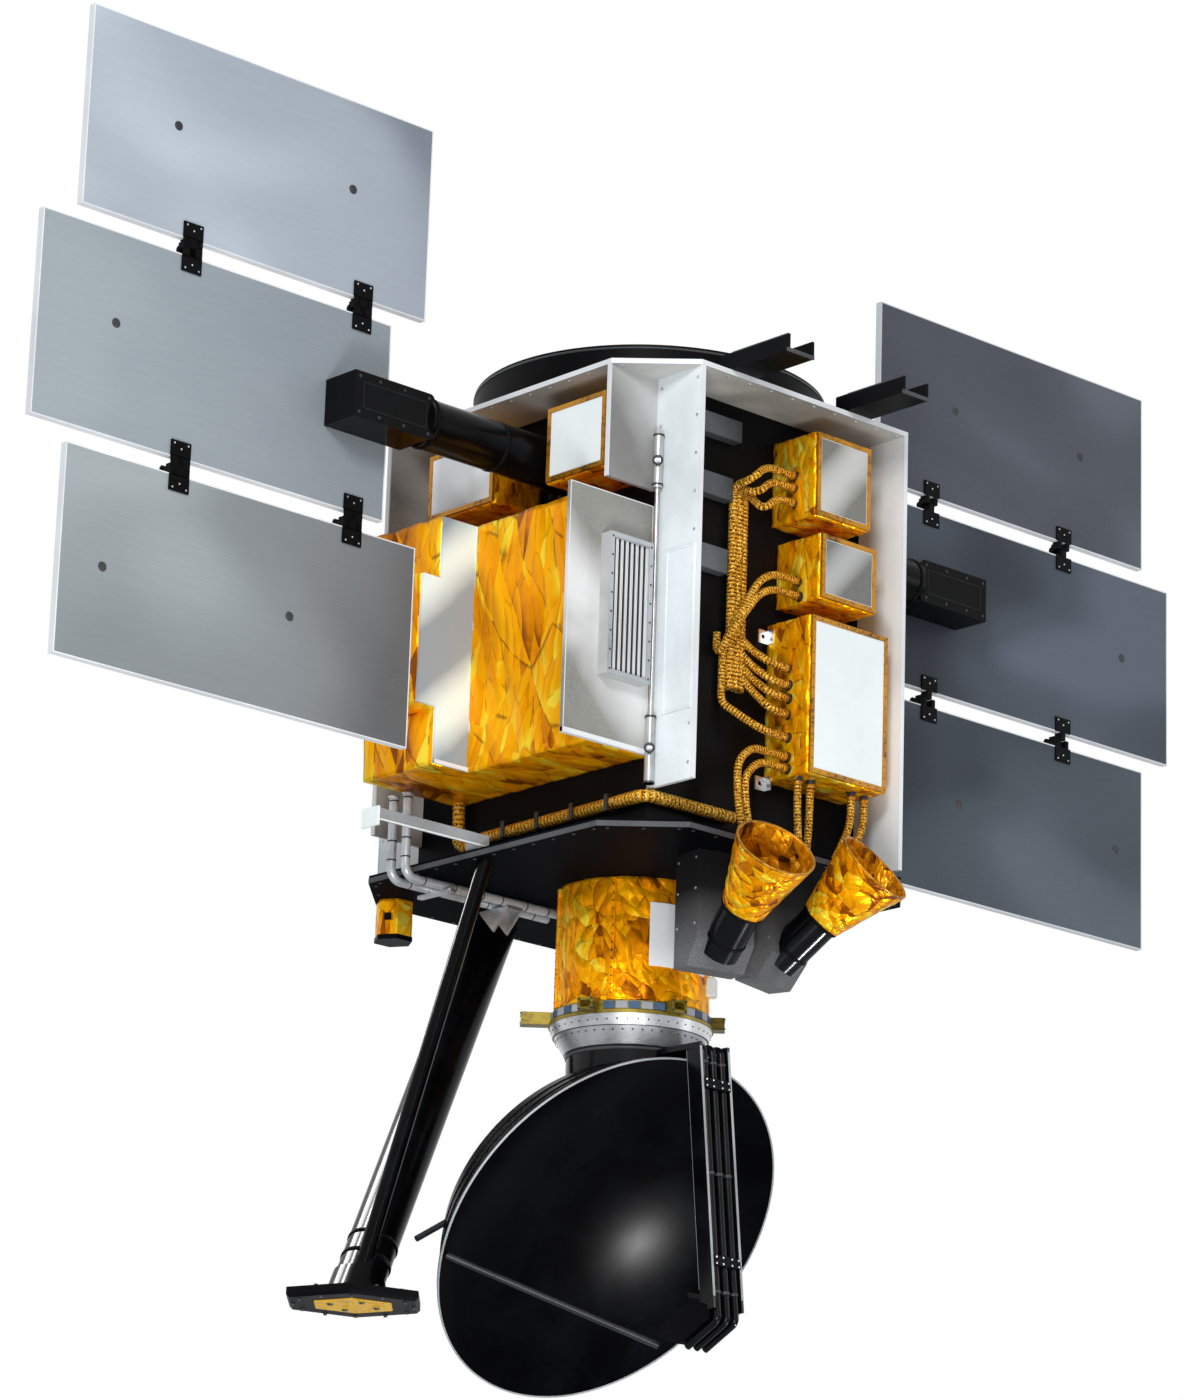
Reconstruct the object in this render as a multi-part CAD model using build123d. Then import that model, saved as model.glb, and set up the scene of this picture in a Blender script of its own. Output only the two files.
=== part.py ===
"""Satellite with a slowly spinning dish, two three-panel solar wings and a braced mast.

Millimetres. The origin is the centre of the launch adapter's upper face, +Z points from
the dish to the adapter, +X runs along the right wing and -Y is the equipment bay's side.
"""
from build123d import *
import math
import os

# Clearances
seat = 0.3
fit_gap = 0.3
cut_over = 1.0

# Bus: an octagonal plan with a cross-shaped core, so that each side has an open bay
bus_x = 1070.0
bus_y = 1197.0
bus_h = 1226.0
bay_depth = 163.0
deck_t = 20.0
top_t = 14.0
bay_wall_t = 12.0
wall_foot = 128.0
front_wall_foot = 38.0
short_wall_h = 300.0
core_x = bus_x / 2 - bay_depth
core_y = bus_y / 2 - bay_depth
top_z = bus_h - top_t

# Launch adapter ring on the upper deck
ring_h = 120.0
ring_top_r = 468.5
ring_foot_r = 500.0
ring_wall = 12.0
ring_flange = 26.0
ring_flange_t = 10.0
ring_bolt_inset = 24.5
ring_bolt_r = 4.5
ring_bolts = 12
deck_z = -(ring_h + bus_h)

# Upper deck brackets over the equipment bay
bracket_xs = (-225.0, 190.0)
bracket_reach = 205.0
bracket_foot = 40.0
bracket_w = 92.0
bracket_h = 46.0
bracket_wall = 8.0

# Boxes that hang from the top of a bay: along the wall from and to, drop, height
front_boxes = ((43.0, 238.0, 69.0, 225.0), (65.0, 262.0, 339.0, 173.0), (35.0, 310.0, 565.0, 417.0))
side_boxes = ((-420.0, -200.0, 67.0, 200.0), (5.0, 262.0, 87.0, 180.0))
rear_boxes = ((-290.0, -20.0, 172.0, 660.0), (70.0, 310.0, 312.0, 260.0))

# Boxes that stand over the lower deck: along the wall from and to, rise, height
rear_low_boxes = ((40.0, 300.0, 150.0, 240.0),)
wing_side_boxes = ((-400.0, -30.0, 180.0, 440.0), (40.0, 400.0, 300.0, 390.0))
radiator_t = 7.0
radiator_inset = 12.0

# Mounting lugs beside the large front box: drop below the top of the bay, from the box's edge
lug_drops = (579.0, 970.0)
lug_len = 34.0
lug_depth = 26.0
lug_h = 36.0
lug_wall = 4.0
lug_hole_r = 6.0

# Plates between the left bay wall and the front wall: drop, height, reach in X
wall_plates = ((52.0, 56.0, 271.0), (213.0, 60.0, 244.0), (408.0, 64.0, 230.0))
wall_plate_depth = 30.0

# Stepped instrument box on the left side
step_z0 = deck_t + 192.0
step_z1 = top_z - 347.0
step_inner_x = 578.0
step_outer_x = 690.0
step_mid_x = 752.0
step_mid_foot = 148.0
step_mid_head = 165.0
step_y = 20.0
step_far_y = 285.0
step_panel_t = 10.0
fin_x0 = 385.0
fin_x1 = 667.0
fin_t = 10.0

# Louvre on the fin, with its turned slats
louvre_x0 = 414.0
louvre_x1 = 558.0
louvre_z0 = step_z0 + 168.0
louvre_z1 = step_z1 - 115.0
louvre_depth = 36.0
louvre_back = 6.0
louvre_frame = 13.0
louvre_slats = 7
louvre_slat_t = 4.0
louvre_slat_w = 22.0
louvre_slat_setback = 13.0
louvre_tilt = 38.0

# Cable harness: a flat wrapped trunk on the front wall and the cables that leave it
trunk_x = -92.0
trunk_half_w = 31.0
trunk_half_d = 14.0
trunk_head = 264.0
trunk_foot = 768.0
cable_r = 10.0
cable_pitch = 20.6
arc_share = 0.45
cable_lead = 46.0
cable_tail = 40.0
cable_front_y = -520.0
cable_bottom_y = -540.0
low_harness_r = 17.0
low_harness_gap = 3.0
low_harness_z = 106.0
low_harness_end = 80.0
low_harness_turn = 150.0
low_harness_far = 255.0

# Cables into the left faces of the two upper boxes: box, drop of the socket, strand of the trunk
upper_cables = ((0, 175.0, 0), (0, 209.0, 1), (0, 250.0, 2))
crossing_cables = ((1, 456.0, 0), (1, 496.0, 1))
crossing_depth = 62.0
crossing_fall = 140.0

# Cables from the trunk to the large box: drop of the socket, where they leave the trunk, strand
fan_cables = ((696.0, 650.0), (740.0, 690.0), (776.0, 722.0), (818.0, 752.0))
outer_cable_drop = 879.0

# Loops from the large box to the lower deck: drop of the socket, reach to the left, foot in X
loop_cables = ((931.0, 175.0, -108.0), (962.0, 148.0, -84.0))
loop_z = 150.0

# Cables from the large box's underside to the lower deck: head in X, foot in X
bottom_cables = ((52.0, 62.0), (96.0, 86.0), (244.0, 172.0), (290.0, 204.0))
bottom_bend_z = 140.0

# Corner rod with its two sleeves
rod_offset = 14.0
rod_r = 6.0
sleeve_r = 13.0
sleeve_len = 138.0
sleeve_drop = 164.0
sleeve_rise = 134.0
low_sleeve_len = 176.0
knob_r = 12.0
knob_reach = 13.5

# Star trackers: foot x, foot y, yaw from -Y towards +X, lift, drop and length of the barrel
trackers = (
    (-128.0, -438.0, -12.0, 40.0, 223.0, 104.0),
    (72.0, -437.0, 15.0, 38.0, 209.0, 118.0),
)
tracker_w = 168.0
tracker_depth = 108.0
tracker_h = 292.0
tracker_bevel = 46.0
tracker_bevel_h = 64.0
barrel_r = 51.0
barrel_root = 40.0
baffle_len = 190.0
baffle_mouth_r = 106.0
baffle_foot_r = 56.0
baffle_wall = 4.0

# Pipes from the stepped box around the deck's edge, their strap and their hanger
pipe_r = 12.0
pipe_ys = (318.0, 262.0)
pipe_x = 560.0
pipe_bend = 34.0
pipe_end_x = 20.0
pipe_gap = 3.0
pipe_head = 7.0
strap_x = -428.0
strap_w = 16.0
strap_t = 9.0
strap_over = 26.0
hanger_x = -192.0
hanger_w = 26.0
hanger_t = 6.0
hanger_over = 30.0
hanger_drop = 56.0

# Outrigger beam and sun sensor
outrigger_y = 40.0
outrigger_z = 60.0
outrigger_x = 862.0
outrigger_w = 56.0
outrigger_t = 8.0
outrigger_lip = 30.0
outrigger_foot = 30.0
outrigger_inset = 40.0
sensor_x = -360.0
sensor_y = 538.0
sensor_r = 50.0
sensor_h = 104.0

# Mast and its brace
mast_head = (-592.0, 350.0, -1090.0)
mast_root = (-12.0, 545.0, 0.0)
mast_r = 64.0
mast_collar_r = 70.0
mast_collar_len = 46.0
brace_root = (-486.0, 34.0, 0.0)
brace_r = 20.0
mast_plate_r = 190.0
mast_plate_t = 26.0
mast_plate_turn = 12.0
mast_plate_edge = 8.0

# Drum under the deck, which carries the dish's bearing
drum_r = 198.0
drum_h = 325.0
drum_band_h = 26.0
drum_band_over = 8.0
drum_lip_h = 8.0
drum_lip_over = 15.0
drum_blocks = 6
drum_block_turn = 18.0
drum_block_w = 44.0
drum_block_reach = 34.0
drum_long_reach = 78.0
drum_long_block = 2
drum_block_h = 32.0
drum_block_wall = 7.0
bearing_h = 72.0
bearing_ring_h = 28.0
bearing_over = 11.0
bearing_step = 4.0
bearing_foot_r = 172.0
bearing_gap = 5.0
spin_shaft_r = 70.0
spin_shaft_len = 45.0
band_r = drum_r + drum_band_over
lip_r = drum_r + drum_lip_over
band_z = deck_z - drum_h - drum_band_h
bearing_z = band_z - drum_lip_h - bearing_h
hub_top = bearing_z - bearing_gap

# Dish, which turns about Z and hangs by its hub; its rim's top lies below the hub's
dish_r = 500.0
dish_depth = 122.0
dish_t = 6.0
dish_tilt = 52.3
dish_y = 60.0
dish_back_inset = 95.0
dish_back_depth = 150.0
dish_back_edge = 6.0
dish_rim_gap = 10.0
rim_drop = 38.4
hub_r = 165.0
hub_sink = 40.0
tilt = math.radians(dish_tilt)
sight_line = Vector(0, -math.sin(tilt), -math.cos(tilt))
rim_down = Vector(0, math.cos(tilt), -math.sin(tilt))
rim_centre = Vector(0, dish_y, hub_top - rim_drop - dish_r * math.sin(tilt))
rim_top = rim_centre - rim_down * dish_r

# Feed, its arm in front of the rim, and the waveguides that run down the arm
arm_rim_gap = 45.2
arm_foot_y = -426.0
arm_foot_z = -255.0
arm_w = 104.0
arm_wall = 7.0
arm_flange = 24.0
arm_rail_w = 9.0
arm_rail_h = 14.0
arm_rail_drop = 4.0
arm_web_drop = 20.0
guide_r = 9.5
guide_bend = 20.0
guide_xs = (-30.0, 0.0, 30.0)
guide_drop = 11.0
guide_corner_z = -279.6
guide_end = (-335.0, -335.6)
clamp_places = (0.14, 0.82)
clamp_h = 26.0
clamp_t = 5.0
feed_w = 92.0
feed_profile = ((-210.0, -298.0), (-360.0, -218.0), (-427.0, -243.5), (-426.0, -276.0), (-322.0, -330.0))
horn_w = 54.0
horn_len = 46.0
horn_h = 34.0
horn_place = 0.74
strut_r = 9.0
strut_turn = 20.0
strut_reach = 0.94
strut_inset = (12.0, -18.0)
balance_r = 8.0
balance_start = (405.0, 14.8, 117.0)
balance_end = (518.0, 18.9, 95.0)

# Solar wings
wing_axis_y = -110.0
wing_axis_drop = 173.0
boom_r = 65.0
boom_wall_gap = 5.0
boom_x1 = 890.0
drive_r = 88.0
drive_len = 30.0
drive_shaft_r = 40.0
wing_bracket_x = (880.0, 1140.0)
wing_bracket_h = 122.0
wing_bracket_y = -160.0
wing_bracket_round = 16.0
panel_len = 1090.0
panel_h = 523.0
panel_t = 20.0
panel_gap = 45.0
panel_x0 = 828.0
panel_mid_shift = 110.0
panel_back_y = -43.5
wing_axis_z = top_z - wing_axis_drop

# Panel hinges: the upper panel folds first, the lower one over it
stack_gap = 12.0
hinge_places = (0.41, 0.91)
leaf_w = 60.0
leaf_h = 42.0
leaf_t = 5.0
knuckle_r = 9.0
knuckle_mid_w = 18.0
knuckle_gap = 1.0
knuckle_side_w = 12.0
hinge_pin_r = 3.5
hinge_pin_over = 2.0
arm_clear = 6.5
panel_face_y = panel_back_y + panel_t
fold_y = {"upper": panel_face_y + stack_gap / 2, "lower": panel_face_y + stack_gap + panel_t / 2}
fold_side = {"upper": 1, "lower": -1}
sides = {"left": -1, "right": 1}

up_from = (Align.CENTER, Align.CENTER, Align.MIN)


def block(xs, ys, zs):
    """Box between two corners, with its heights counted from the lower deck's underside."""
    low = (min(xs), min(ys), deck_z + min(zs))
    size = [max(pair) - min(pair) for pair in (xs, ys, zs)]
    return Pos(*low) * Box(*size, align=(Align.MIN, Align.MIN, Align.MIN))


def at(x, y, height):
    """Point whose height is counted from the lower deck's underside."""
    return Vector(x, y, deck_z + height)


def rod(start, end, radius):
    """Round bar between two points."""
    line = end - start
    return Plane(origin=start, z_dir=line) * Cylinder(radius, line.length, align=up_from)


def prism(points, plane, thickness):
    """Closed outline extruded along its plane's normal."""
    return extrude(plane * make_face(Polyline(*points, close=True)), thickness)


def tube(points, radius, bends):
    """Round tube along straight runs joined by tangent arcs."""
    path = FilletPolyline(*points, radius=bends)
    return sweep(Plane(origin=path @ 0, z_dir=path % 0) * Circle(radius), path)


def cable(points, radius):
    """Round cable whose arcs are as large as its runs allow."""
    bends = []
    for before, corner, after in zip(points, points[1:], points[2:]):
        turn = math.radians((corner - before).get_angle(after - corner))
        short_run = min((corner - before).length, (after - corner).length)
        bends.append(arc_share * short_run / math.tan(turn / 2))
    return tube(points, radius, bends)


def octagon(height, thickness):
    """Flat octagonal deck whose corners meet the bay walls."""
    half_x = bus_x / 2
    half_y = bus_y / 2
    points = [
        (half_x, -core_y), (half_x, core_y), (core_x, half_y), (-core_x, half_y),
        (-half_x, core_y), (-half_x, -core_y), (-core_x, -half_y), (core_x, -half_y),
    ]
    return prism(points, Plane.XY.offset(deck_z + height), thickness)


def wall_box(side, low, high, z0, z1):
    """Box on a bay's back wall and the radiator plate on its outer face."""
    depth = bay_depth - radiator_t
    along = (low, high)
    inner = (low + radiator_inset, high - radiator_inset)
    heights = (z0 + radiator_inset, z1 - radiator_inset)
    if side in ("front", "rear"):
        sign = -1 if side == "front" else 1
        body = block(along, (sign * core_y, sign * (core_y + depth)), (z0, z1))
        plate = block(inner, (sign * (core_y + depth), sign * bus_y / 2), heights)
    else:
        sign = -1 if side == "left" else 1
        body = block((sign * core_x, sign * (core_x + depth)), along, (z0, z1))
        plate = block((sign * (core_x + depth), sign * bus_x / 2), inner, heights)
    return body, plate


def hanging_box(side, low, high, drop, height):
    """Wall box placed by its drop below the upper deck."""
    return wall_box(side, low, high, top_z - drop - height, top_z - drop)


def standing_box(side, low, high, rise, height):
    """Wall box placed by its rise over the lower deck's underside."""
    return wall_box(side, low, high, rise, rise + height)


def on_backing(radius, turn, depth):
    """Point behind the rim's plane, at a turn below the rim's -X end."""
    angle = math.radians(turn)
    outward = Vector(-math.cos(angle), 0, 0) + rim_down * math.sin(angle)
    return rim_centre + outward * radius - sight_line * depth


def hinge_half(x, toward, spans, pin):
    """One side of a hinge: a leaf on the panel's back, arms past its edge and knuckles."""
    pin_y, pin_z = pin
    edge = pin_z + toward * panel_gap / 2
    leaf_ys = (panel_back_y - leaf_t, panel_back_y)
    shape = block((x - leaf_w / 2, x + leaf_w / 2), leaf_ys, (edge, edge + toward * leaf_h))
    for span in spans:
        shape += block(span, (leaf_ys[0], panel_face_y), (pin_z, edge))
        shape += block(span, (panel_face_y, pin_y), (pin_z, edge - toward * arm_clear))
        shape += rod(at(span[0], pin_y, pin_z), at(span[1], pin_y, pin_z), knuckle_r)
    return shape


parts = {}

# Bus structure
parts["lower_deck"] = octagon(0, deck_t)
parts["upper_deck"] = octagon(top_z, top_t)
core = block((-core_x, core_x), (-core_y, core_y), (deck_t, top_z))
for sign in sides.values():
    socket = rod(
        at(sign * (core_x + cut_over), wing_axis_y, wing_axis_z),
        at(sign * (core_x - drive_len), wing_axis_y, wing_axis_z), drive_shaft_r + fit_gap)
    core -= socket
parts["core"] = core

parts["bay_walls_y"] = [
    block((sx * core_x, sx * (core_x - bay_wall_t)), (sy * core_y, sy * bus_y / 2), (low, top_z))
    for sx, sy, low in (
        (-1, -1, wall_foot), (1, -1, front_wall_foot), (-1, 1, front_wall_foot), (1, 1, front_wall_foot))
]
parts["bay_walls_x"] = [
    block((sx * core_x, sx * bus_x / 2), (sy * core_y, sy * (core_y - bay_wall_t)), (low, top_z))
    for sx, sy, low in (
        (-1, -1, top_z - short_wall_h), (-1, 1, wall_foot), (1, -1, wall_foot), (1, 1, wall_foot))
]

# Launch adapter: a conical ring with a bolted flange
ring_profile = [
    (ring_foot_r, 0), (ring_foot_r, ring_flange_t), (ring_foot_r - ring_flange, ring_flange_t),
    (ring_top_r, ring_h - ring_flange_t), (ring_top_r, ring_h),
    (ring_top_r - ring_wall - ring_flange, ring_h),
    (ring_top_r - ring_wall - ring_flange, ring_h - ring_flange_t),
    (ring_top_r - ring_wall, ring_h - ring_flange_t),
    (ring_foot_r - ring_flange - ring_wall, ring_flange_t), (ring_foot_r - ring_flange - ring_wall, 0),
]
ring = revolve(Pos(0, 0, -ring_h) * make_face(Plane.XZ * Polyline(*ring_profile, close=True)), Axis.Z)
bolt_hole = Cylinder(ring_bolt_r, 3 * ring_flange_t)
for hole in PolarLocations(ring_top_r - ring_bolt_inset, ring_bolts):
    ring -= hole * bolt_hole
parts["adapter_ring"] = ring

# Two channel brackets on the upper deck, reaching out over the equipment bay
brackets = []
for x in bracket_xs:
    xs = (x - bracket_w / 2, x + bracket_w / 2)
    ys = (-bus_y / 2 - bracket_reach, -bus_y / 2 + bracket_foot)
    zs = (bus_h, bus_h + bracket_h)
    inner = (xs[0] + bracket_wall, xs[1] - bracket_wall)
    hollow = block(inner, (ys[0] - cut_over, ys[1] + cut_over), (zs[0] + bracket_wall, zs[1] + cut_over))
    brackets.append(block(xs, ys, zs) - hollow)
parts["deck_brackets"] = brackets

# Boxes on the bays' back walls
front = [hanging_box("front", *row) for row in front_boxes]
left = [hanging_box("left", *row) for row in side_boxes]
rear = [hanging_box("rear", *row) for row in rear_boxes]
rear += [standing_box("rear", *row) for row in rear_low_boxes]
right = [hanging_box("right", *row) for row in side_boxes]
right += [standing_box("right", *row) for row in wing_side_boxes]
parts["front_boxes"] = [body for body, plate in front]
parts["side_boxes"] = [body for body, plate in left]
parts["rear_boxes"] = [body for body, plate in rear + right]
parts["radiator_plates"] = [plate for body, plate in front + left + rear + right]

# Lugs of the large front box: short angle pieces with a hole, against the wall
large_x = front_boxes[-1][0]
lugs = []
for drop in lug_drops:
    xs = (large_x - seat - lug_len, large_x - seat)
    zs = (top_z - drop - lug_h, top_z - drop)
    ys = (-core_y - lug_depth, -core_y)
    lug = block(xs, ys, zs) - block(
        (xs[0] - cut_over, xs[1] - lug_wall), (ys[0] - cut_over, ys[1] - lug_wall),
        (zs[0] - cut_over, zs[1] + cut_over))
    hole_at = at((xs[0] + xs[1] - lug_wall) / 2, -core_y, (zs[0] + zs[1]) / 2)
    lugs.append(lug - rod(hole_at + Vector(0, cut_over, 0), hole_at - Vector(0, lug_depth, 0), lug_hole_r))
parts["box_lugs"] = lugs

# Plates in the corner between the left bay wall and the front wall
parts["wall_plates"] = [
    block((bay_wall_t - core_x, reach - core_x), (-core_y - wall_plate_depth, -core_y),
          (top_z - drop - height, top_z - drop))
    for drop, height, reach in wall_plates
]

# Stepped instrument box, its panels and the louvre
step_mid_z0 = step_z0 + step_mid_foot
step_mid_z1 = step_z1 - step_mid_head
near_part = block((-core_x, -step_inner_x), (-core_y, step_y), (step_z0, step_z1))
far_part = block((-core_x, -step_outer_x), (step_y, step_far_y), (step_z0, step_z1))
middle_part = block((-step_outer_x, -step_mid_x), (step_y, step_far_y), (step_mid_z0, step_mid_z1))
parts["stepped_box"] = near_part + far_part + middle_part
panel_outline = [
    (-step_inner_x, deck_z + step_z0), (-step_outer_x, deck_z + step_z0),
    (-step_outer_x, deck_z + step_mid_z0), (-step_mid_x, deck_z + step_mid_z0),
    (-step_mid_x, deck_z + step_mid_z1), (-step_outer_x, deck_z + step_mid_z1),
    (-step_outer_x, deck_z + step_z1), (-step_inner_x, deck_z + step_z1),
]
parts["step_panel"] = prism(panel_outline, Plane.XZ.offset(-step_y), step_panel_t)
parts["louvre_fin"] = block((-fin_x0, -fin_x1), (-core_y, -core_y - fin_t), (step_z0, step_z1))
louvre_ys = (-core_y - fin_t, -core_y - fin_t - louvre_depth)
louvre = block((-louvre_x0, -louvre_x1), louvre_ys, (louvre_z0, louvre_z1))
louvre -= block(
    (-louvre_x0 - louvre_frame, -louvre_x1 + louvre_frame),
    (louvre_ys[0] - louvre_back, louvre_ys[1] - cut_over),
    (louvre_z0 + louvre_frame, louvre_z1 - louvre_frame))
slat_pitch = (louvre_x1 - louvre_x0 - 2 * louvre_frame) / louvre_slats
slat_h = louvre_z1 - louvre_z0 - 2 * louvre_frame
for index in range(louvre_slats):
    slat_x = -louvre_x0 - louvre_frame - slat_pitch * (index + 0.5)
    slat = Pos(slat_x, louvre_ys[1] + louvre_slat_setback, deck_z + (louvre_z0 + louvre_z1) / 2)
    louvre += slat * Rot(0, 0, louvre_tilt) * Box(louvre_slat_t, louvre_slat_w, slat_h)
parts["louvre"] = louvre

# Harness trunk: a flat bundle wrapped in foil, from the upper cables' end to the fan's
trunk_y = -core_y - seat - trunk_half_d
trunk_z0 = top_z - trunk_foot
trunk_z1 = top_z - trunk_head
trunk = Pos(trunk_x, trunk_y, deck_z + trunk_z0) * extrude(Ellipse(trunk_half_w, trunk_half_d), trunk_z1 - trunk_z0)
parts["harness_trunk"] = trunk

# Cables between the trunk, the boxes and the lower deck, each whole along its real route
cables = []
wall_y = -core_y - seat - cable_r
left_strand_x = trunk_x - trunk_half_w - seat - cable_r
right_strand_x = trunk_x + trunk_half_w + seat + cable_r
cable_floor = block((-core_x, core_x), (-bus_y / 2, -core_y), (-deck_t, deck_t + seat))
for box, drop, strand in upper_cables:
    x_box = front_boxes[box][0] - seat
    x_down = trunk_x + (strand - 1) * cable_pitch
    z_box = top_z - drop
    cables.append(cable(
        [at(x_box, cable_front_y, z_box), at(x_down + cable_lead, cable_front_y, z_box),
         at(x_down, cable_front_y, z_box - cable_lead), at(x_down, trunk_y, trunk_z1 + cable_tail),
         at(x_down, trunk_y, trunk_z1 + seat)],
        cable_r))
for box, drop, strand in crossing_cables:
    x_box = front_boxes[box][0] - seat
    x_down = left_strand_x - strand * cable_pitch
    z_box = top_z - drop
    z_down = z_box - crossing_fall
    cables.append(cable(
        [at(x_box, cable_front_y, z_box), at(trunk_x + trunk_half_w, cable_front_y, z_box),
         at(x_down, -core_y - crossing_depth, z_down), at(x_down, wall_y, z_down - crossing_depth),
         at(x_down, wall_y, trunk_z0 + strand * crossing_fall)],
        cable_r))
for drop, leave in fan_cables:
    z_box = top_z - drop
    z_top = top_z - leave
    fan = cable(
        [at(trunk_x, trunk_y, z_top + cable_tail), at(right_strand_x, trunk_y - cable_r, z_top),
         at(right_strand_x + cable_pitch, cable_front_y, z_box), at(large_x - seat, cable_front_y, z_box)],
        cable_r)
    cables.append(fan - trunk)
z_box = top_z - outer_cable_drop
cables.append(cable(
    [at(left_strand_x, wall_y, trunk_z0 - seat), at(left_strand_x, wall_y, trunk_z0 - cable_tail),
     at(trunk_x + trunk_half_w, cable_front_y, z_box), at(large_x - seat, cable_front_y, z_box)],
    cable_r))
for drop, reach, foot_x in loop_cables:
    z_box = top_z - drop
    x_far = large_x - reach
    cables.append(cable(
        [at(large_x - seat, cable_front_y, z_box), at(x_far + cable_lead, cable_front_y, z_box),
         at(x_far, cable_front_y, z_box - cable_lead), at(x_far, cable_front_y, loop_z),
         at(foot_x, cable_front_y, deck_t - cable_r)],
        cable_r) - cable_floor)
large_foot = top_z - front_boxes[-1][2] - front_boxes[-1][3]
for head_x, foot_x in bottom_cables:
    cables.append(cable(
        [at(head_x, cable_bottom_y, large_foot - seat), at(head_x, cable_bottom_y, bottom_bend_z),
         at(foot_x, cable_bottom_y, deck_t - cable_r)],
        cable_r) - cable_floor)
parts["harness_branches"] = cables

# Harness around the foot of the core
low_y = -core_y - low_harness_r - low_harness_gap
low_x = -core_x - low_harness_r - low_harness_gap
parts["lower_harness"] = tube(
    [at(low_x, low_harness_far, step_z0 - seat), at(low_x, low_harness_far, low_harness_end),
     at(low_x, low_harness_turn, low_harness_z - 6), at(low_x, low_y, low_harness_z),
     at(trunk_x, low_y, low_harness_z)],
    low_harness_r, [38.0, 60.0, 24.0])

# Corner rod and its sleeves
rod_x = -core_x - rod_offset
rod_y = -core_y - fin_t - sleeve_r - seat
sleeve_top = top_z - sleeve_drop
sleeves = ((sleeve_top - sleeve_len, sleeve_top), (sleeve_rise, sleeve_rise + low_sleeve_len))
corner_rod = rod(at(rod_x, rod_y, sleeve_rise), at(rod_x, rod_y, sleeve_top), rod_r)
for low, high in sleeves:
    middle = at(rod_x, rod_y, (low + high) / 2)
    corner_rod += rod(at(rod_x, rod_y, low), at(rod_x, rod_y, high), sleeve_r)
    corner_rod += rod(middle, middle - Vector(knob_reach, knob_reach, 0), knob_r)
parts["corner_rod"] = corner_rod

# Star trackers under the front of the deck
housings = []
barrels = []
baffles = []
half_d = tracker_depth / 2
for foot_x, foot_y, yaw, lift, drop, barrel_len in trackers:
    place = Pos(foot_x, foot_y, deck_z) * Rot(0, 0, yaw)
    profile = [
        (half_d, -seat), (-half_d, -seat), (-half_d, tracker_bevel_h - tracker_h),
        (-half_d + tracker_bevel, -tracker_h), (half_d, -tracker_h),
    ]
    body = extrude(Plane.YZ * make_face(Polyline(*profile, close=True)), tracker_w / 2, both=True)
    housings.append(place * body)
    sight = place * Pos(0, -half_d, -drop) * Rot(90 - lift, 0, 0)
    barrel = Cylinder(barrel_r, barrel_len + barrel_root, align=up_from)
    barrels.append(sight * Pos(0, 0, -barrel_root) * barrel - place * body)
    outer = Cone(baffle_foot_r, baffle_mouth_r, baffle_len, align=up_from)
    inner = Cone(baffle_foot_r - baffle_wall, baffle_mouth_r - baffle_wall, baffle_len, align=up_from)
    baffles.append(sight * Pos(0, 0, barrel_len + seat) * (outer - Pos(0, 0, baffle_wall) * inner))
parts["tracker_housings"] = housings
parts["tracker_barrels"] = barrels
parts["tracker_baffles"] = baffles

# Pipes from the stepped box, around the deck's edge and along its underside
pipe_z = -pipe_r - pipe_gap
parts["deck_pipes"] = [
    tube([at(-pipe_x, y, step_z0 - pipe_head), at(-pipe_x, y, pipe_z), at(-pipe_end_x, y, pipe_z)],
         pipe_r, [pipe_bend])
    for y in pipe_ys
]

# Strap across the two pipes and the hanger with its two gussets, each with a leg between them
under_pipes = pipe_z - pipe_r - seat
leg_ys = (pipe_ys[1] + pipe_r + seat, pipe_ys[0] - pipe_r - seat)
strap_xs = (strap_x - strap_w / 2, strap_x + strap_w / 2)
strap_ys = (pipe_ys[1] - pipe_r - strap_over, pipe_ys[0] + pipe_r + strap_over)
strap = block(strap_xs, strap_ys, (under_pipes - strap_t, under_pipes))
strap += block(strap_xs, leg_ys, (under_pipes - seat, -seat))
hanger_xs = (hanger_x - hanger_w, hanger_x + hanger_w)
hanger_ys = (pipe_ys[1] - pipe_r, pipe_ys[0] + pipe_r + hanger_over)
hanger = block(hanger_xs, hanger_ys, (under_pipes - hanger_t, under_pipes))
hanger += block((hanger_x - hanger_t, hanger_x + hanger_t), leg_ys, (under_pipes - seat, -seat))
gusset_z = deck_z + under_pipes - hanger_t
gusset = [(hanger_ys[0], gusset_z), (hanger_ys[1], gusset_z), (sum(hanger_ys) / 2, gusset_z - hanger_drop)]
for x in (hanger_xs[0], hanger_xs[1] - hanger_t):
    hanger += prism(gusset, Plane.YZ.offset(x), hanger_t)
parts["pipe_supports"] = [strap, hanger]

# Outrigger beam, an angle section on a foot block
beam_xs = (-bus_x / 2 + outrigger_inset, -outrigger_x)
beam_ys = (outrigger_y - outrigger_w / 2, outrigger_y + outrigger_w / 2)
beam = block(beam_xs, beam_ys, (outrigger_z - outrigger_t, outrigger_z))
beam += block(beam_xs, (beam_ys[0], beam_ys[0] + outrigger_t), (outrigger_z - outrigger_lip, outrigger_z))
beam += block((beam_xs[0], beam_xs[0] - outrigger_foot), beam_ys, (deck_t, outrigger_z))
parts["outrigger"] = beam

# Small six-sided sun sensor
sensor_place = Pos(sensor_x, sensor_y, deck_z - sensor_h - seat)
parts["sun_sensor"] = sensor_place * extrude(RegularPolygon(sensor_r, 6), sensor_h)

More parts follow.
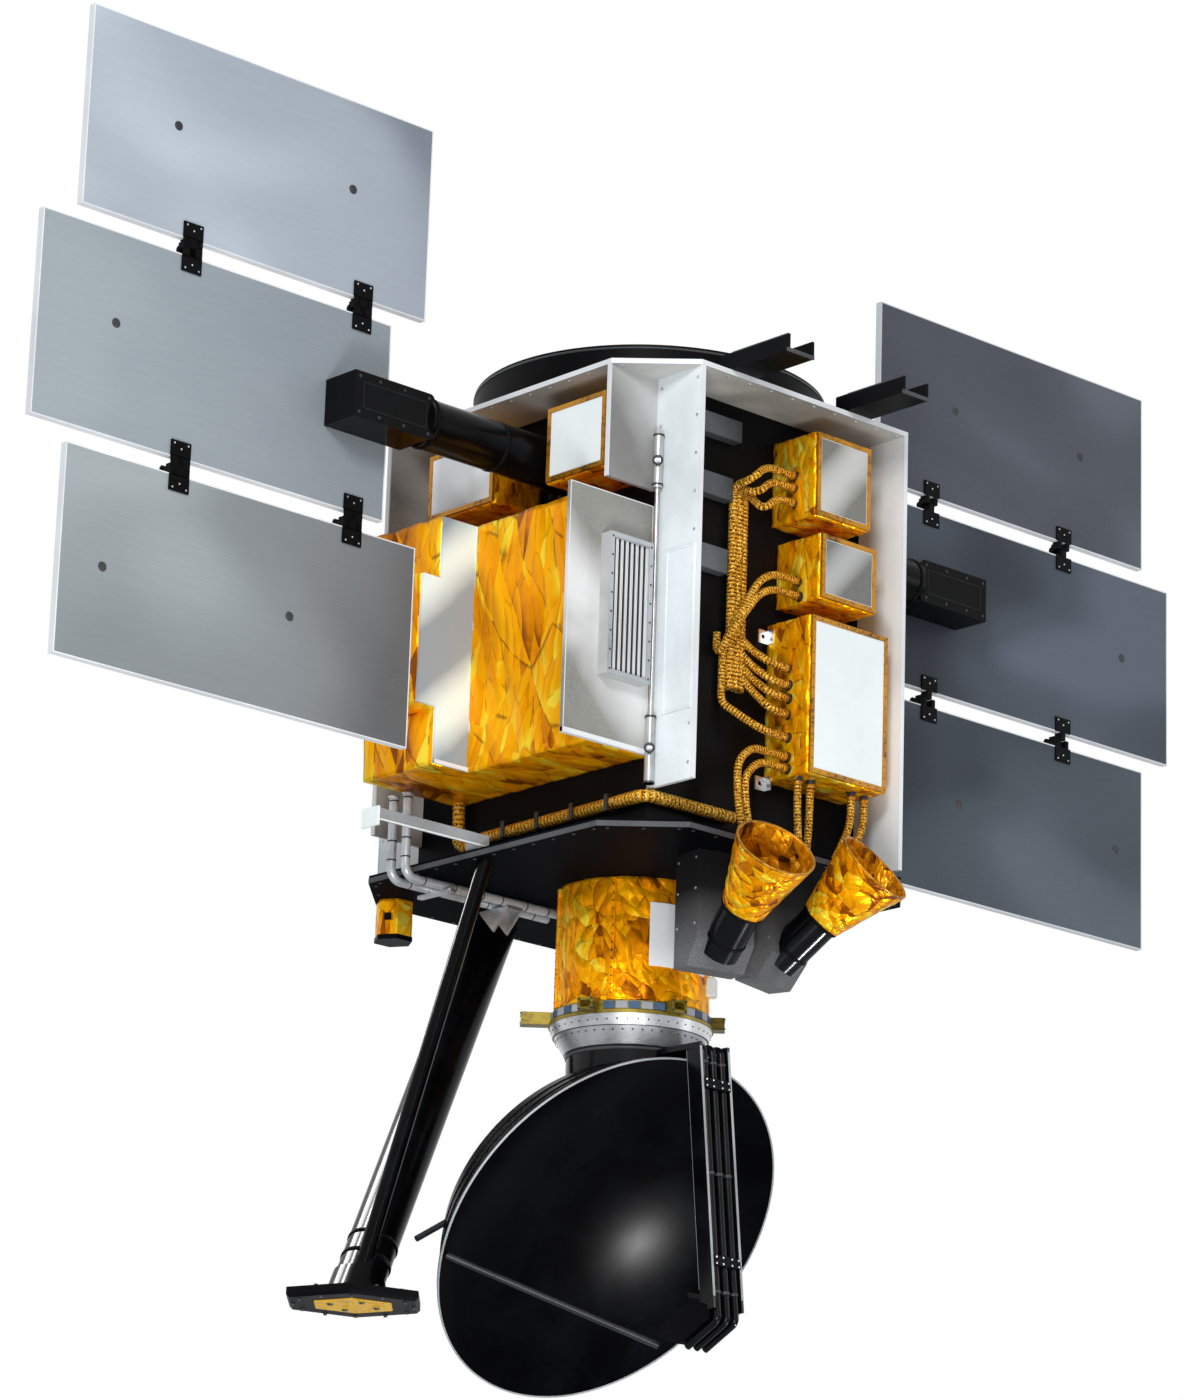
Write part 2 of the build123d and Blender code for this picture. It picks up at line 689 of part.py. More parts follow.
# Mast, brace and head
root = at(*mast_root)
head = at(*mast_head)
mast_line = (head - root).normalized()
brace_line = (head - at(*brace_root)).normalized()
under_deck = Pos(0, 0, deck_z - seat) * Box(4 * bus_x, 4 * bus_y, bus_h, align=up_from)
below_head = Pos(head.X, head.Y, head.Z) * Box(
    4 * mast_plate_r, 4 * mast_plate_r, 4 * mast_r, align=(Align.CENTER, Align.CENTER, Align.MAX))
mast = rod(root - mast_line * mast_r, head + mast_line * mast_r, mast_r)
mast += rod(head - mast_line * mast_collar_len, head + mast_line * mast_r, mast_collar_r)
parts["mast_tube"] = mast - under_deck - below_head
brace = rod(at(*brace_root) - brace_line * brace_r * 2, head - brace_line * mast_collar_len, brace_r)
brace -= rod(root, head, mast_r + seat)
parts["mast_brace"] = brace - under_deck
plate_face = RegularPolygon(mast_plate_r, 6, rotation=mast_plate_turn)
plate = Plane(origin=head, z_dir=(0, 0, -1)) * extrude(plate_face, mast_plate_t)
parts["mast_head"] = chamfer(plate.faces().sort_by(Axis.Z)[0].edges(), mast_plate_edge)

# Drum, its band with open mounting blocks, and the stepped bearing housing
drum = Pos(0, 0, deck_z - drum_h) * Cylinder(drum_r, drum_h - seat, align=up_from)
parts["drum"] = drum
band = Pos(0, 0, band_z) * Cylinder(band_r, drum_band_h, align=up_from)
band += Pos(0, 0, band_z - drum_lip_h) * Cylinder(lip_r, drum_lip_h, align=up_from)
block_z = band_z + (drum_band_h - drum_block_h) / 2
for index in range(drum_blocks):
    reach = drum_long_reach if index == drum_long_block else drum_block_reach
    place = Rot(0, 0, drum_block_turn + 360 * index / drum_blocks) * Pos(band_r + reach / 2, 0, block_z)
    inner_w = drum_block_w - 2 * drum_block_wall
    inner_h = drum_block_h - 2 * drum_block_wall
    whole = Pos(-drum_block_wall, 0, 0) * Box(reach + 2 * drum_block_wall, drum_block_w, drum_block_h, align=up_from)
    hollow = Pos(drum_block_wall, 0, drum_block_wall) * Box(reach, inner_w, inner_h, align=up_from)
    band += place * (whole - hollow)
parts["drum_band"] = band - drum
bearing_profile = [
    (0, 0), (bearing_foot_r, 0), (lip_r - bearing_over - bearing_step, bearing_h - bearing_ring_h),
    (lip_r - bearing_over, bearing_h - bearing_ring_h), (lip_r - bearing_step, bearing_h), (0, bearing_h),
]
bearing = revolve(
    Pos(0, 0, bearing_z) * make_face(Plane.XZ * Polyline(*bearing_profile, close=True)), Axis.Z)
bearing -= Pos(0, 0, bearing_z - cut_over) * Cylinder(
    spin_shaft_r + fit_gap, spin_shaft_len + bearing_gap + cut_over, align=up_from)
parts["bearing_housing"] = bearing

# Dish: a shallow bowl on a tapered backing, cut to the same sphere
ball_r = (dish_r ** 2 + dish_depth ** 2) / (2 * dish_depth)
ball_centre = rim_centre + sight_line * (ball_r - dish_depth)
rim_plane = Plane(origin=rim_centre, x_dir=(1, 0, 0), z_dir=sight_line)
back_plane = rim_plane * Pos(0, 0, -dish_back_depth)
cone_r = (dish_r - dish_back_inset, dish_r - dish_back_edge)
cone_len = dish_back_depth - dish_rim_gap
ball_place = Pos(*ball_centre) * Rot(90, 0, 0)
bowl_slab = back_plane * Cylinder(dish_r, dish_back_depth, align=up_from)
parts["dish"] = (bowl_slab & (ball_place * Sphere(ball_r + dish_t))) - ball_place * Sphere(ball_r)
backing = back_plane * Cone(*cone_r, cone_len, align=up_from) - ball_place * Sphere(ball_r + dish_t + seat)
parts["dish_backing"] = backing

hub_foot = rim_centre.Z + hub_sink
hub = Pos(0, 0, hub_foot) * Cylinder(hub_r, hub_top - hub_foot, align=up_from)
hub -= back_plane * Pos(0, 0, -seat) * Cone(cone_r[0] + seat, cone_r[1] + seat, cone_len + seat, align=up_from)
hub -= rim_plane * Pos(0, 0, -dish_rim_gap - seat) * Cylinder(dish_r, 2 * dish_r, align=up_from)
hub += Pos(0, 0, hub_top) * Cylinder(spin_shaft_r, spin_shaft_len, align=up_from)
parts["spin_hub"] = hub

# Feed arm: a channel in front of the rim, held by two rails from the hub
beside_hub = Pos(0, 0, hub_foot) * Cylinder(hub_r + seat, 2 * (hub_top - hub_foot), align=up_from)
rail_z = hub_top - arm_rail_drop
arm_top = Vector(0, rim_top.Y - arm_rim_gap, rail_z - arm_rail_h)
arm_foot = Vector(0, rim_centre.Y + arm_foot_y, rim_centre.Z + arm_foot_z)
arm_line = (arm_foot - arm_top).normalized()
arm_plane = Plane(origin=arm_top, x_dir=(1, 0, 0), z_dir=arm_line)
arm_len = (arm_foot - arm_top).length
arm = arm_plane * Pos(0, 0, arm_web_drop) * Box(arm_w, arm_wall, arm_len - arm_web_drop, align=up_from)
for sign in sides.values():
    arm += arm_plane * Pos(sign * (arm_w - arm_wall) / 2, 0, 0) * Box(
        arm_wall, 2 * arm_flange, arm_len, align=up_from)
    rail = Pos(sign * (arm_w - arm_rail_w) / 2, arm_top.Y - arm_flange, rail_z - arm_rail_h) * Box(
        arm_rail_w, -arm_top.Y + arm_flange, arm_rail_h, align=(Align.CENTER, Align.MIN, Align.MIN))
    arm += rail - beside_hub
feed_points = [(rim_centre.Y + y, rim_centre.Z + z) for y, z in feed_profile]
feed = prism(feed_points, Plane.YZ.offset(-feed_w / 2), feed_w)
mouth_from = Vector(0, *feed_points[0])
mouth_to = Vector(0, *feed_points[1])
mouth_line = (mouth_to - mouth_from).normalized()
horn_plane = Plane(
    origin=mouth_from + (mouth_to - mouth_from) * horn_place, x_dir=(1, 0, 0),
    z_dir=Vector(1, 0, 0).cross(mouth_line) * -1)
horn = horn_plane * Pos(0, 0, -cut_over) * Box(horn_w, horn_len, horn_h + cut_over, align=up_from)
feed_top = [feed_points[1], feed_points[2], (feed_points[2][0], rim_centre.Z - 2 * dish_r),
            (feed_points[1][0], rim_centre.Z - 2 * dish_r)]
below_feed = prism(feed_top, Plane.YZ.offset(-arm_w), 2 * arm_w)
parts["feed_arm"] = arm - below_feed
parts["feed_box"] = feed + horn

# Waveguides: out of the hub between the rails, down the arm's outer side, under the feed box
outer = arm_line.cross(Vector(1, 0, 0))
outer = outer if outer.Y < 0 else outer * -1
guide_shift = arm_wall / 2 + seat + guide_r
guide_z = hub_top - guide_drop
down_from = arm_top + outer * guide_shift
elbow = down_from + arm_line * ((guide_z - down_from.Z) / arm_line.Z)
corner_z = rim_centre.Z + guide_corner_z
corner = down_from + arm_line * ((corner_z - down_from.Z) / arm_line.Z)
guides = []
for x in guide_xs:
    aside = Vector(x, 0, 0)
    start = Vector(x, -hub_r + 2 * guide_r, guide_z)
    finish = Vector(x, rim_centre.Y + guide_end[0], rim_centre.Z + guide_end[1])
    guides.append(tube([start, elbow + aside, corner + aside, finish], guide_r, [guide_bend] * 2) - beside_hub)
parts["waveguides"] = guides

# Clamps that hold the waveguides on the arm
clamps = []
guide_span = guide_xs[-1] + guide_r + seat
for place in clamp_places:
    plane = Plane(origin=arm_top + arm_line * (arm_len * place), x_dir=(1, 0, 0), z_dir=outer)
    low = arm_wall / 2 + seat + 2 * (guide_r + seat)
    clamps.append(plane * Pos(0, 0, low - seat) * Box(
        arm_w - 2 * arm_wall - 2 * seat, clamp_h, clamp_t, align=up_from))
parts["guide_clamps"] = clamps

# Strut across the bowl to the feed box, and the balance rod on the backing
strut_depth = dish_depth * (1 - strut_reach ** 2)
strut_start = on_backing(dish_r * strut_reach, strut_turn, strut_depth)
strut_end = Vector(0, feed_points[0][0] + strut_inset[0], feed_points[0][1] + strut_inset[1])
strut_lead = (strut_start - strut_end).normalized() * 4 * strut_r
strut = rod(strut_start + strut_lead, strut_end, strut_r) & (ball_place * Sphere(ball_r - seat))
parts["feed_strut"] = strut - feed
balance = rod(on_backing(*balance_start), on_backing(*balance_end), balance_r)
parts["balance_rod"] = balance - backing

# Wings
for side, sign in sides.items():
    def on_axis(x):
        """Point of this side's wing axis."""
        return at(sign * x, wing_axis_y, wing_axis_z)

    collar_x = core_x + drive_len
    boom = rod(on_axis(collar_x + boom_wall_gap), on_axis(boom_x1), boom_r)
    boom += rod(on_axis(core_x - drive_len + boom_wall_gap), on_axis(collar_x + boom_wall_gap), drive_shaft_r)
    wing_bracket = block(
        [sign * x for x in wing_bracket_x], (wing_bracket_y, panel_back_y - seat),
        (wing_axis_z - wing_bracket_h / 2, wing_axis_z + wing_bracket_h / 2))
    inner_edges = wing_bracket.edges().filter_by(Axis.Y).sort_by(Axis.X)
    inner_edges = inner_edges[:2] if sign > 0 else inner_edges[-2:]
    parts["wing_drive_" + side] = boom + fillet(inner_edges, wing_bracket_round)
    collar = rod(on_axis(core_x), on_axis(collar_x), drive_r)
    parts["drive_collar_" + side] = collar - rod(on_axis(core_x), on_axis(collar_x), drive_shaft_r + fit_gap)

    mid_x = (sign * (panel_x0 + panel_mid_shift), sign * (panel_x0 + panel_mid_shift + panel_len))
    outer_x = (sign * panel_x0, sign * (panel_x0 + panel_len))
    panel_ys = (panel_back_y, panel_face_y)
    half_h = panel_h / 2
    parts["panel_middle_" + side] = block(mid_x, panel_ys, (wing_axis_z - half_h, wing_axis_z + half_h))
    hinge_xs = [mid_x[1] - sign * panel_len * place for place in hinge_places]
    mid_halves = []
    for level, up in fold_side.items():
        low = wing_axis_z + up * (half_h + panel_gap)
        parts["panel_" + level + "_" + side] = block(outer_x, panel_ys, (low, low + up * panel_h))
        pin = (fold_y[level], wing_axis_z + up * (half_h + panel_gap / 2))
        outer_halves = []
        for x in hinge_xs:
            inner_w = knuckle_mid_w / 2
            gap_w = inner_w + knuckle_gap
            outer_w = gap_w + knuckle_side_w
            pin_w = outer_w + hinge_pin_over
            mid_half = hinge_half(x, -up, [(x - inner_w, x + inner_w)], pin)
            mid_halves.append(mid_half + rod(at(x - pin_w, *pin), at(x + pin_w, *pin), hinge_pin_r))
            outer_half = hinge_half(x, up, [(x - outer_w, x - gap_w), (x + gap_w, x + outer_w)], pin)
            bore = rod(at(x - leaf_w, *pin), at(x + leaf_w, *pin), hinge_pin_r + fit_gap)
            outer_halves.append(outer_half - bore)
        parts["hinge_leaves_" + level + "_" + side] = outer_halves
    parts["hinges_" + side] = mid_halves

os.makedirs("parts", exist_ok=True)
for name, shape in parts.items():
    solids = shape if isinstance(shape, list) else [shape]
    solids = [solid for item in solids for solid in item.solids()]
    export_step(Compound(children=solids) if len(solids) > 1 else solids[0], f"parts/{name}.step")
    print(name, len(solids))
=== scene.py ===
"""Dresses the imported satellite: finishes, crumpled foil, wrapped cables, fixings, trim, light and camera.

Everything is in metres in the CAD's own frame: the origin is the centre of the launch adapter's
upper face, +Z points from the dish to the adapter, +X along the right wing and -Y is the
equipment bay's side.
"""
from __future__ import annotations

import functools
import logging
import math
from dataclasses import dataclass, field
from enum import Enum

import bmesh
import bpy
from mathutils import Matrix, Vector


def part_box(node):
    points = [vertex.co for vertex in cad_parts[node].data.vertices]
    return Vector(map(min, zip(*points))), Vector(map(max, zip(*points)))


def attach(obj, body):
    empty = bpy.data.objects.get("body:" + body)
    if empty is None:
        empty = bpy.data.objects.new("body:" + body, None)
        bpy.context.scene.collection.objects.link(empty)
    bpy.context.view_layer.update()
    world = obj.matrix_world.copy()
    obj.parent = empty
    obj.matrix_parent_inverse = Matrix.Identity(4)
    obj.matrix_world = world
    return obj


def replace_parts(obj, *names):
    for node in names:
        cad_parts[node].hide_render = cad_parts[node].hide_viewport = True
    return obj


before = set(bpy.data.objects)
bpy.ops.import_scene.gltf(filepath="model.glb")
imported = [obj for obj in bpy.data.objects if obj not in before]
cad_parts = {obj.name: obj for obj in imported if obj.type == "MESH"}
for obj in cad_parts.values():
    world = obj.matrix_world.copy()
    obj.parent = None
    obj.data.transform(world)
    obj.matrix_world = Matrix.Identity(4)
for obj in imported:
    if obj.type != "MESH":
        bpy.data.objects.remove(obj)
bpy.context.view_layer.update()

log = logging.getLogger("satellite")

Colour = tuple[float, float, float]
Point = tuple[float, float, float]
Span = tuple[float, float]

DECK_Z = -1.346
BAY_TOP_Z = -0.134
CORE_X = 0.372
CORE_Y = 0.4355
HALF_X = 0.535
HALF_Y = 0.5985
UPPER_DECK_T = 0.014
LOWER_DECK_T = 0.020
BOOM_Y = -0.110
BOOM_Z = DECK_Z + 1.039
HINGE_SHARES = (0.41, 0.91)
PANEL_LENGTH = 1.090

UP = Vector((0, 0, 1))
DOWN = Vector((0, 0, -1))
AHEAD = Vector((1, 0, 0))
BEHIND = Vector((-1, 0, 0))
FRONT = Vector((0, -1, 0))


def radial(degrees: float) -> Vector:
    """Level direction at an angle from +X."""
    angle = math.radians(degrees)
    return Vector((math.cos(angle), math.sin(angle), 0))


class Side(Enum):
    """Which wing a piece belongs to."""

    LEFT = "left"
    RIGHT = "right"

    @property
    def sign(self) -> int:
        """Direction of this side along X."""
        return -1 if self is Side.LEFT else 1


class Level(Enum):
    """Height of a panel in its wing."""

    UPPER = "upper"
    MIDDLE = "middle"
    LOWER = "lower"


class FixingShape(Enum):
    """Small part that a fixing tree repeats, as stacked frustums.

    Each frustum is its start height, foot radius, head radius, height and number of sides, all
    but the last as shares of the fixing's size.
    """

    RIVET = ((0.0, 1.0, 0.82, 0.5, 10), (0.5, 0.82, 0.3, 0.5, 10))
    SCREW = ((0.0, 1.0, 0.9, 0.7, 12), (0.7, 0.55, 0.5, 0.3, 6))
    BOLT = ((0.0, 1.0, 1.0, 0.25, 14), (0.25, 0.78, 0.7, 0.75, 6))
    FERRULE = ((0.0, 1.22, 1.22, 0.22, 14), (0.22, 1.0, 0.96, 0.78, 14))
    BAND = ((0.0, 0.97, 1.0, 0.2, 20), (0.2, 1.0, 1.0, 0.6, 20), (0.8, 1.0, 0.97, 0.2, 20))
    CUP = ((0.0, 1.0, 0.93, 0.6, 20), (0.6, 0.74, 0.66, 0.4, 20))
    BLOCK = ((0.0, 1.4142, 1.4142, 0.7, 4), (0.7, 1.4142, 1.34, 0.3, 4))


class Nodes:
    """Node tree with short calls for adding nodes and joining their sockets."""

    def __init__(self, tree: bpy.types.NodeTree) -> None:
        """Keeps the tree that the calls add to."""
        self.tree = tree

    def add(self, kind: str, feeds: dict | None = None, **settings) -> bpy.types.Node:
        """Adds a node.

        Args:
            kind: Blender's name of the node type.
            feeds: a socket or a constant for each input, by the input's name or number.
            settings: the node's own properties.

        Returns:
            The new node.
        """
        node = self.tree.nodes.new(kind)
        for name, value in settings.items():
            setattr(node, name, value)
        for name, value in (feeds or {}).items():
            self.feed(node.inputs[name], value)
        return node

    def feed(self, socket: bpy.types.NodeSocket, value) -> None:
        """Joins a socket to another, or sets its constant, a colour without alpha as opaque."""
        if isinstance(value, bpy.types.NodeSocket):
            self.tree.links.new(value, socket)
        elif socket.type == "RGBA" and len(value) == 3:
            socket.default_value = (*value, 1.0)
        else:
            socket.default_value = value

    def maths(self, operation: str, first, second=0.0, clamp: bool = False) -> bpy.types.NodeSocket:
        """Result of one Math node."""
        return self.add("ShaderNodeMath", {0: first, 1: second}, operation=operation,
                        use_clamp=clamp).outputs[0]

    def times(self, first, second) -> bpy.types.NodeSocket:
        """Product of two amounts."""
        return self.maths("MULTIPLY", first, second)

    def plus(self, first, second) -> bpy.types.NodeSocket:
        """Sum of two amounts."""
        return self.maths("ADD", first, second)

    def vector(self, operation: str, first, second) -> bpy.types.NodeSocket:
        """Vector result of one Vector Math node."""
        slot = "Scale" if operation == "SCALE" else 1
        return self.add("ShaderNodeVectorMath", {0: first, slot: second}, operation=operation).outputs[0]

    def part(self, vector: bpy.types.NodeSocket, axis: str = "X") -> bpy.types.NodeSocket:
        """One component of a vector."""
        return self.add("ShaderNodeSeparateXYZ", {0: vector}).outputs[axis]

    def noise(self, place, scale: float, detail: float = 2.0, roughness: float = 0.5,
              distortion: float = 0.0, output: str = "Fac") -> bpy.types.NodeSocket:
        """Noise texture read at a place."""
        feeds = {"Vector": place, "Scale": scale, "Detail": detail, "Roughness": roughness,
                 "Distortion": distortion}
        return self.add("ShaderNodeTexNoise", feeds).outputs[output]

    def cells(self, place, scale: float, feature: str = "F1") -> bpy.types.Node:
        """Voronoi texture read at a place."""
        feeds = {"Vector": place, "Scale": scale, "Randomness": 1.0}
        return self.add("ShaderNodeTexVoronoi", feeds, feature=feature)


@dataclass(frozen=True)
class Folds:
    """Field of folds that the foil's shape and its colour both follow.

    Attributes:
        size: width of a large facet in metres.
        stretch: how often the facets repeat along each leaning axis, against their size.
        lean: angles in degrees by which the facets lean.
        wander: how far their direction changes from place to place.
        fine: how many small facets go to the width of a large one.
    """

    size: float = 0.110
    stretch: Point = (0.6, 1.3, 0.30)
    lean: Point = (16.0, -9.0, 9.0)
    wander: float = 2.2
    fine: float = 2.4

    def lay(self, nodes: Nodes, place: bpy.types.NodeSocket) -> dict[str, bpy.types.NodeSocket]:
        """Lays the field in a tree.

        Args:
            nodes: the tree's calls.
            place: position in the object's own space.

        Returns:
            Distances to the large and small creases, and a tone that is random for each facet and slopes over
            it as painted shade.
        """
        found = {}
        middle = (0.5, 0.5, 0.5)
        for name, size, more in (("large", self.size, 0.0), ("small", self.size / self.fine, -22.0)):
            degrees = (self.lean[0] + more, self.lean[1], self.lean[2] + more)
            angles = tuple(math.radians(value) for value in degrees)
            turned = nodes.add("ShaderNodeVectorRotate", {"Vector": place, "Rotation": angles},
                               rotation_type="EULER_XYZ").outputs[0]
            bent = nodes.noise(turned, 0.24 / self.size, 1.0, output="Color")
            bent = nodes.vector("SCALE", nodes.vector("SUBTRACT", bent, middle), self.size * self.wander)
            moved = nodes.vector("MULTIPLY", nodes.vector("ADD", turned, bent), self.stretch)
            found[name] = nodes.cells(moved, 1 / size, "DISTANCE_TO_EDGE").outputs["Distance"]
            facet = nodes.cells(moved, 1 / size)
            within = nodes.vector("SCALE", nodes.vector("SUBTRACT", moved, facet.outputs["Position"]),
                                  1 / size)
            # painted_slope: a painted shade that runs across each facet, darker on one side as if lit from
            # the other
            painted_slope = nodes.vector("SUBTRACT", facet.outputs["Color"], middle)
            painted_slope = nodes.add("ShaderNodeVectorMath", {0: within, 1: painted_slope},
                              operation="DOT_PRODUCT").outputs["Value"]
            level = nodes.part(facet.outputs["Color"])
            found[name + "_tone"] = nodes.plus(nodes.times(level, 0.8), nodes.times(painted_slope, 0.9))
        return found


class Sheet(Nodes):
    """Node sheet of one material."""

    def __init__(self, name: str) -> None:
        """Starts a material with one Principled shader."""
        self.material = bpy.data.materials.new(name)
        self.material.use_nodes = True
        super().__init__(self.material.node_tree)
        self.shader = self.tree.nodes["Principled BSDF"]
        self.place = self.add("ShaderNodeTexCoord").outputs["Object"]

    def set(self, **values) -> None:
        """Sets the shader's sockets, underscores standing for spaces."""
        for name, value in values.items():
            self.feed(self.shader.inputs[name.replace("_", " ")], value)

    def mapped(self, scale: Point = (1, 1, 1), turn: Point = (0, 0, 0), shift: Point = (0, 0, 0)):
        """Object coordinates, scaled, turned by degrees and shifted."""
        angles = tuple(math.radians(value) for value in turn)
        feeds = {"Vector": self.place, "Location": shift, "Rotation": angles, "Scale": scale}
        return self.add("ShaderNodeMapping", feeds).outputs[0]

    def ramp(self, amount, stops: list[tuple[float, Colour]], smooth: bool = False):
        """Colour ramp read at an amount."""
        node = self.add("ShaderNodeValToRGB", {"Fac": amount})
        node.color_ramp.interpolation = "EASE" if smooth else "LINEAR"
        while len(node.color_ramp.elements) < len(stops):
            node.color_ramp.elements.new(0.5)
        for element, (place, colour) in zip(node.color_ramp.elements, stops):
            element.position = place
            element.color = (*colour, 1.0)
        return node.outputs["Color"]

    def mix(self, share, first, second, kind: str = "MIX"):
        """Mix of two colours."""
        return self.add("ShaderNodeMix", {0: share, 6: first, 7: second}, data_type="RGBA",
                        blend_type=kind).outputs[2]

    def specked(self, colour, speck: Colour, share: float, scale: float, stops: Span, rough: float = 0.5):
        """Colour with fine specks, and the noise that places them.

        Args:
            colour: the colour between the specks.
            speck: the specks' own colour.
            share: how strongly a speck covers the colour.
            scale: how many grains of noise go to a metre.
            stops: amounts of noise between which a speck sets in.
            rough: roughness of the noise.

        Returns:
            The speckled colour and the noise.
        """
        dust = self.noise(self.place, scale, 1.0, rough)
        return self.mix(self.times(self.step(dust, *stops), share), colour, speck), dust

    def axis(self, name: str):
        """One of the object coordinates."""
        return self.part(self.place, name)

    def step(self, amount, low: float, high: float):
        """Amount brought to 0 at low and 1 at high, and clamped there."""
        feeds = {"Value": amount, "From Min": low, "From Max": high}
        return self.add("ShaderNodeMapRange", feeds, clamp=True).outputs[0]

    def bump(self, height, distance: float, strength: float = 1.0, under=None):
        """Bump from a height."""
        feeds = {"Height": height, "Distance": distance, "Strength": strength}
        if under is not None:
            feeds["Normal"] = under
        return self.add("ShaderNodeBump", feeds).outputs[0]


@dataclass(frozen=True)
class Finish:
    """Finish of a surface, with the name of the slot that it stands for."""

    name: str
    slot: str

    def material(self) -> bpy.types.Material:
        """The finish's material, made once."""
        return made(self)

    def lay(self, sheet: Sheet) -> None:
        """Fills the finish's node sheet."""
        raise NotImplementedError


@functools.cache
def made(finish: Finish) -> bpy.types.Material:
    """Makes a finish's material the first time that it is asked for."""
    sheet = Sheet(finish.name)
    finish.lay(sheet)
    return sheet.material


@dataclass(frozen=True)
class Foil(Finish):
    """Crumpled metal foil, whose tones and creases follow the folds of its shape, with painted shade in the
    creases and across each facet and painted glints on the lightest facets.

    Attributes:
        folds: the field of folds.
        tones: colours from the darkest to the lightest facet, the spread partly each facet's own random tone
            and partly painted shade and painted glints.
        crease: colour in the creases, a painted shade.
        crease_width: width of a crease as a share of a facet.
        contrast: how far the facets' tones lie apart.
        gloss: roughness of the foil.
        metal: metallic share.
    """

    folds: Folds = Folds()
    tones: tuple[Colour, ...] = ((0.28, 0.070, 0.0005), (0.70, 0.215, 0.0003), (0.95, 0.345, 0.0003),
                                 (1.0, 0.46, 0.0010), (1.0, 0.74, 0.045))
    crease: Colour = (0.20, 0.062, 0.003)
    crease_width: float = 0.028
    contrast: float = 1.0
    gloss: float = 0.30
    metal: float = 0.42

    def lay(self, sheet: Sheet) -> None:
        """Tones by facet with painted shade and painted glints, broken brown lines of painted shade in the
        creases and a fine crinkle.
        """
        folds = self.folds.lay(sheet, sheet.place)
        size, middle = self.folds.size, 0.45
        streak = sheet.noise(sheet.place, 2.2 / size, 3.0, 0.6, 0.8)
        tone = sheet.plus(sheet.times(folds["large_tone"], 0.50), sheet.times(folds["small_tone"], 0.40))
        tone = sheet.plus(tone, sheet.times(streak, 0.16))
        tone = sheet.plus(sheet.times(sheet.maths("SUBTRACT", tone, middle), self.contrast), middle)
        # the ramp runs from painted shade on the darkest facets to painted glints on the lightest
        colour = sheet.ramp(tone, list(zip((0.05, 0.17, 0.34, 0.64, 0.84), self.tones)))
        # broken brown lines along the creases: painted shade
        broken = sheet.step(sheet.noise(sheet.place, 1.9 / size, 1.0), 0.46, 0.54)
        for edge, width, share in (("large", self.crease_width, 0.8),
                                   ("small", self.crease_width * 1.7, 0.42)):
            line = sheet.maths("SUBTRACT", 1.0, sheet.step(folds[edge], 0.0, width))
            colour = sheet.mix(sheet.times(line, sheet.times(broken, share)), colour, self.crease)
        fine = sheet.noise(sheet.place, 8.0 / size, 2.0, 0.5, 0.5)
        normal = None
        for height, distance, strength in ((folds["large"], 0.012, 0.55), (folds["small"], 0.006, 0.6),
                                           (fine, 0.0008, 0.3)):
            normal = sheet.bump(height, distance, strength, normal)
        rough = sheet.plus(sheet.times(fine, 0.12), self.gloss - 0.06)
        sheet.set(Base_Color=colour, Roughness=rough, Normal=normal, Metallic=self.metal,
                  Specular_IOR_Level=0.05)


@dataclass(frozen=True)
class Paint(Finish):
    """Satin paint with fine specks, a slow change of tone, an optional diagonal painted sheen and an optional
    painted shade towards one end.

    Attributes:
        colour: the paint itself.
        speck: colour of the fine specks.
        specks: how much of the surface the specks take.
        drift: how far the tone drifts over the piece.
        rough: roughness of the paint.
        sheen_turn: angles in degrees of the diagonal painted sheen.
        painted_sheen: strength of the diagonal sheen, bands of painted reflection.
        shine: level of the mirror reflection.
        graded: axis, place at which the tone is lowest and place at which it is full, for a painted shade
            along that axis, or None.
    """

    colour: Colour = (0.5, 0.5, 0.5)
    speck: Colour = (0.8, 0.8, 0.8)
    specks: float = 0.3
    drift: float = 0.2
    rough: float = 0.5
    sheen_turn: Point = (0.0, 0.0, 0.0)
    painted_sheen: float = 0.0
    shine: float = 0.25
    graded: tuple[str, float, float] | None = None

    def lay(self, sheet: Sheet) -> None:
        """Base tone with drift, specks, an optional diagonal painted sheen and an optional painted shade at
        one end.
        """
        slow = sheet.step(sheet.noise(sheet.place, 3.1, 3.0, 0.55, 0.4), 0.3, 0.7)
        low = tuple(value * (1 - self.drift) for value in self.colour)
        high = tuple(min(1.0, value * (1 + self.drift * 0.8)) for value in self.colour)
        colour = sheet.ramp(slow, [(0.0, low), (1.0, high)], smooth=True)
        # painted sheen: diagonal bands that mix the paint towards a lighter tone, as painted reflection
        if self.painted_sheen > 0:
            line = sheet.part(sheet.mapped(turn=self.sheen_turn))
            wave = sheet.plus(sheet.maths("SINE", sheet.times(line, 11.0)), sheet.times(slow, 0.7))
            light = tuple(min(1.0, value + (1 - value) * 0.85) for value in self.colour)
            colour = sheet.mix(sheet.times(sheet.step(wave, 0.15, 1.35), self.painted_sheen), colour, light)
        stops = (0.74 - self.specks * 0.3, 0.80 - self.specks * 0.2)
        colour, dust = sheet.specked(colour, self.speck, 0.6, 620.0, stops, 0.6)
        # painted shade: the tone falls to near black along one axis
        if self.graded is not None:
            share = sheet.step(sheet.axis(self.graded[0]), *self.graded[1:])
            colour = sheet.mix(share, (0.012, 0.012, 0.013), colour)
        rough = sheet.plus(sheet.times(slow, 0.14), self.rough - 0.07)
        sheet.set(Base_Color=colour, Roughness=rough, Normal=sheet.bump(dust, 0.0004, 0.35),
                  Specular_IOR_Level=self.shine)


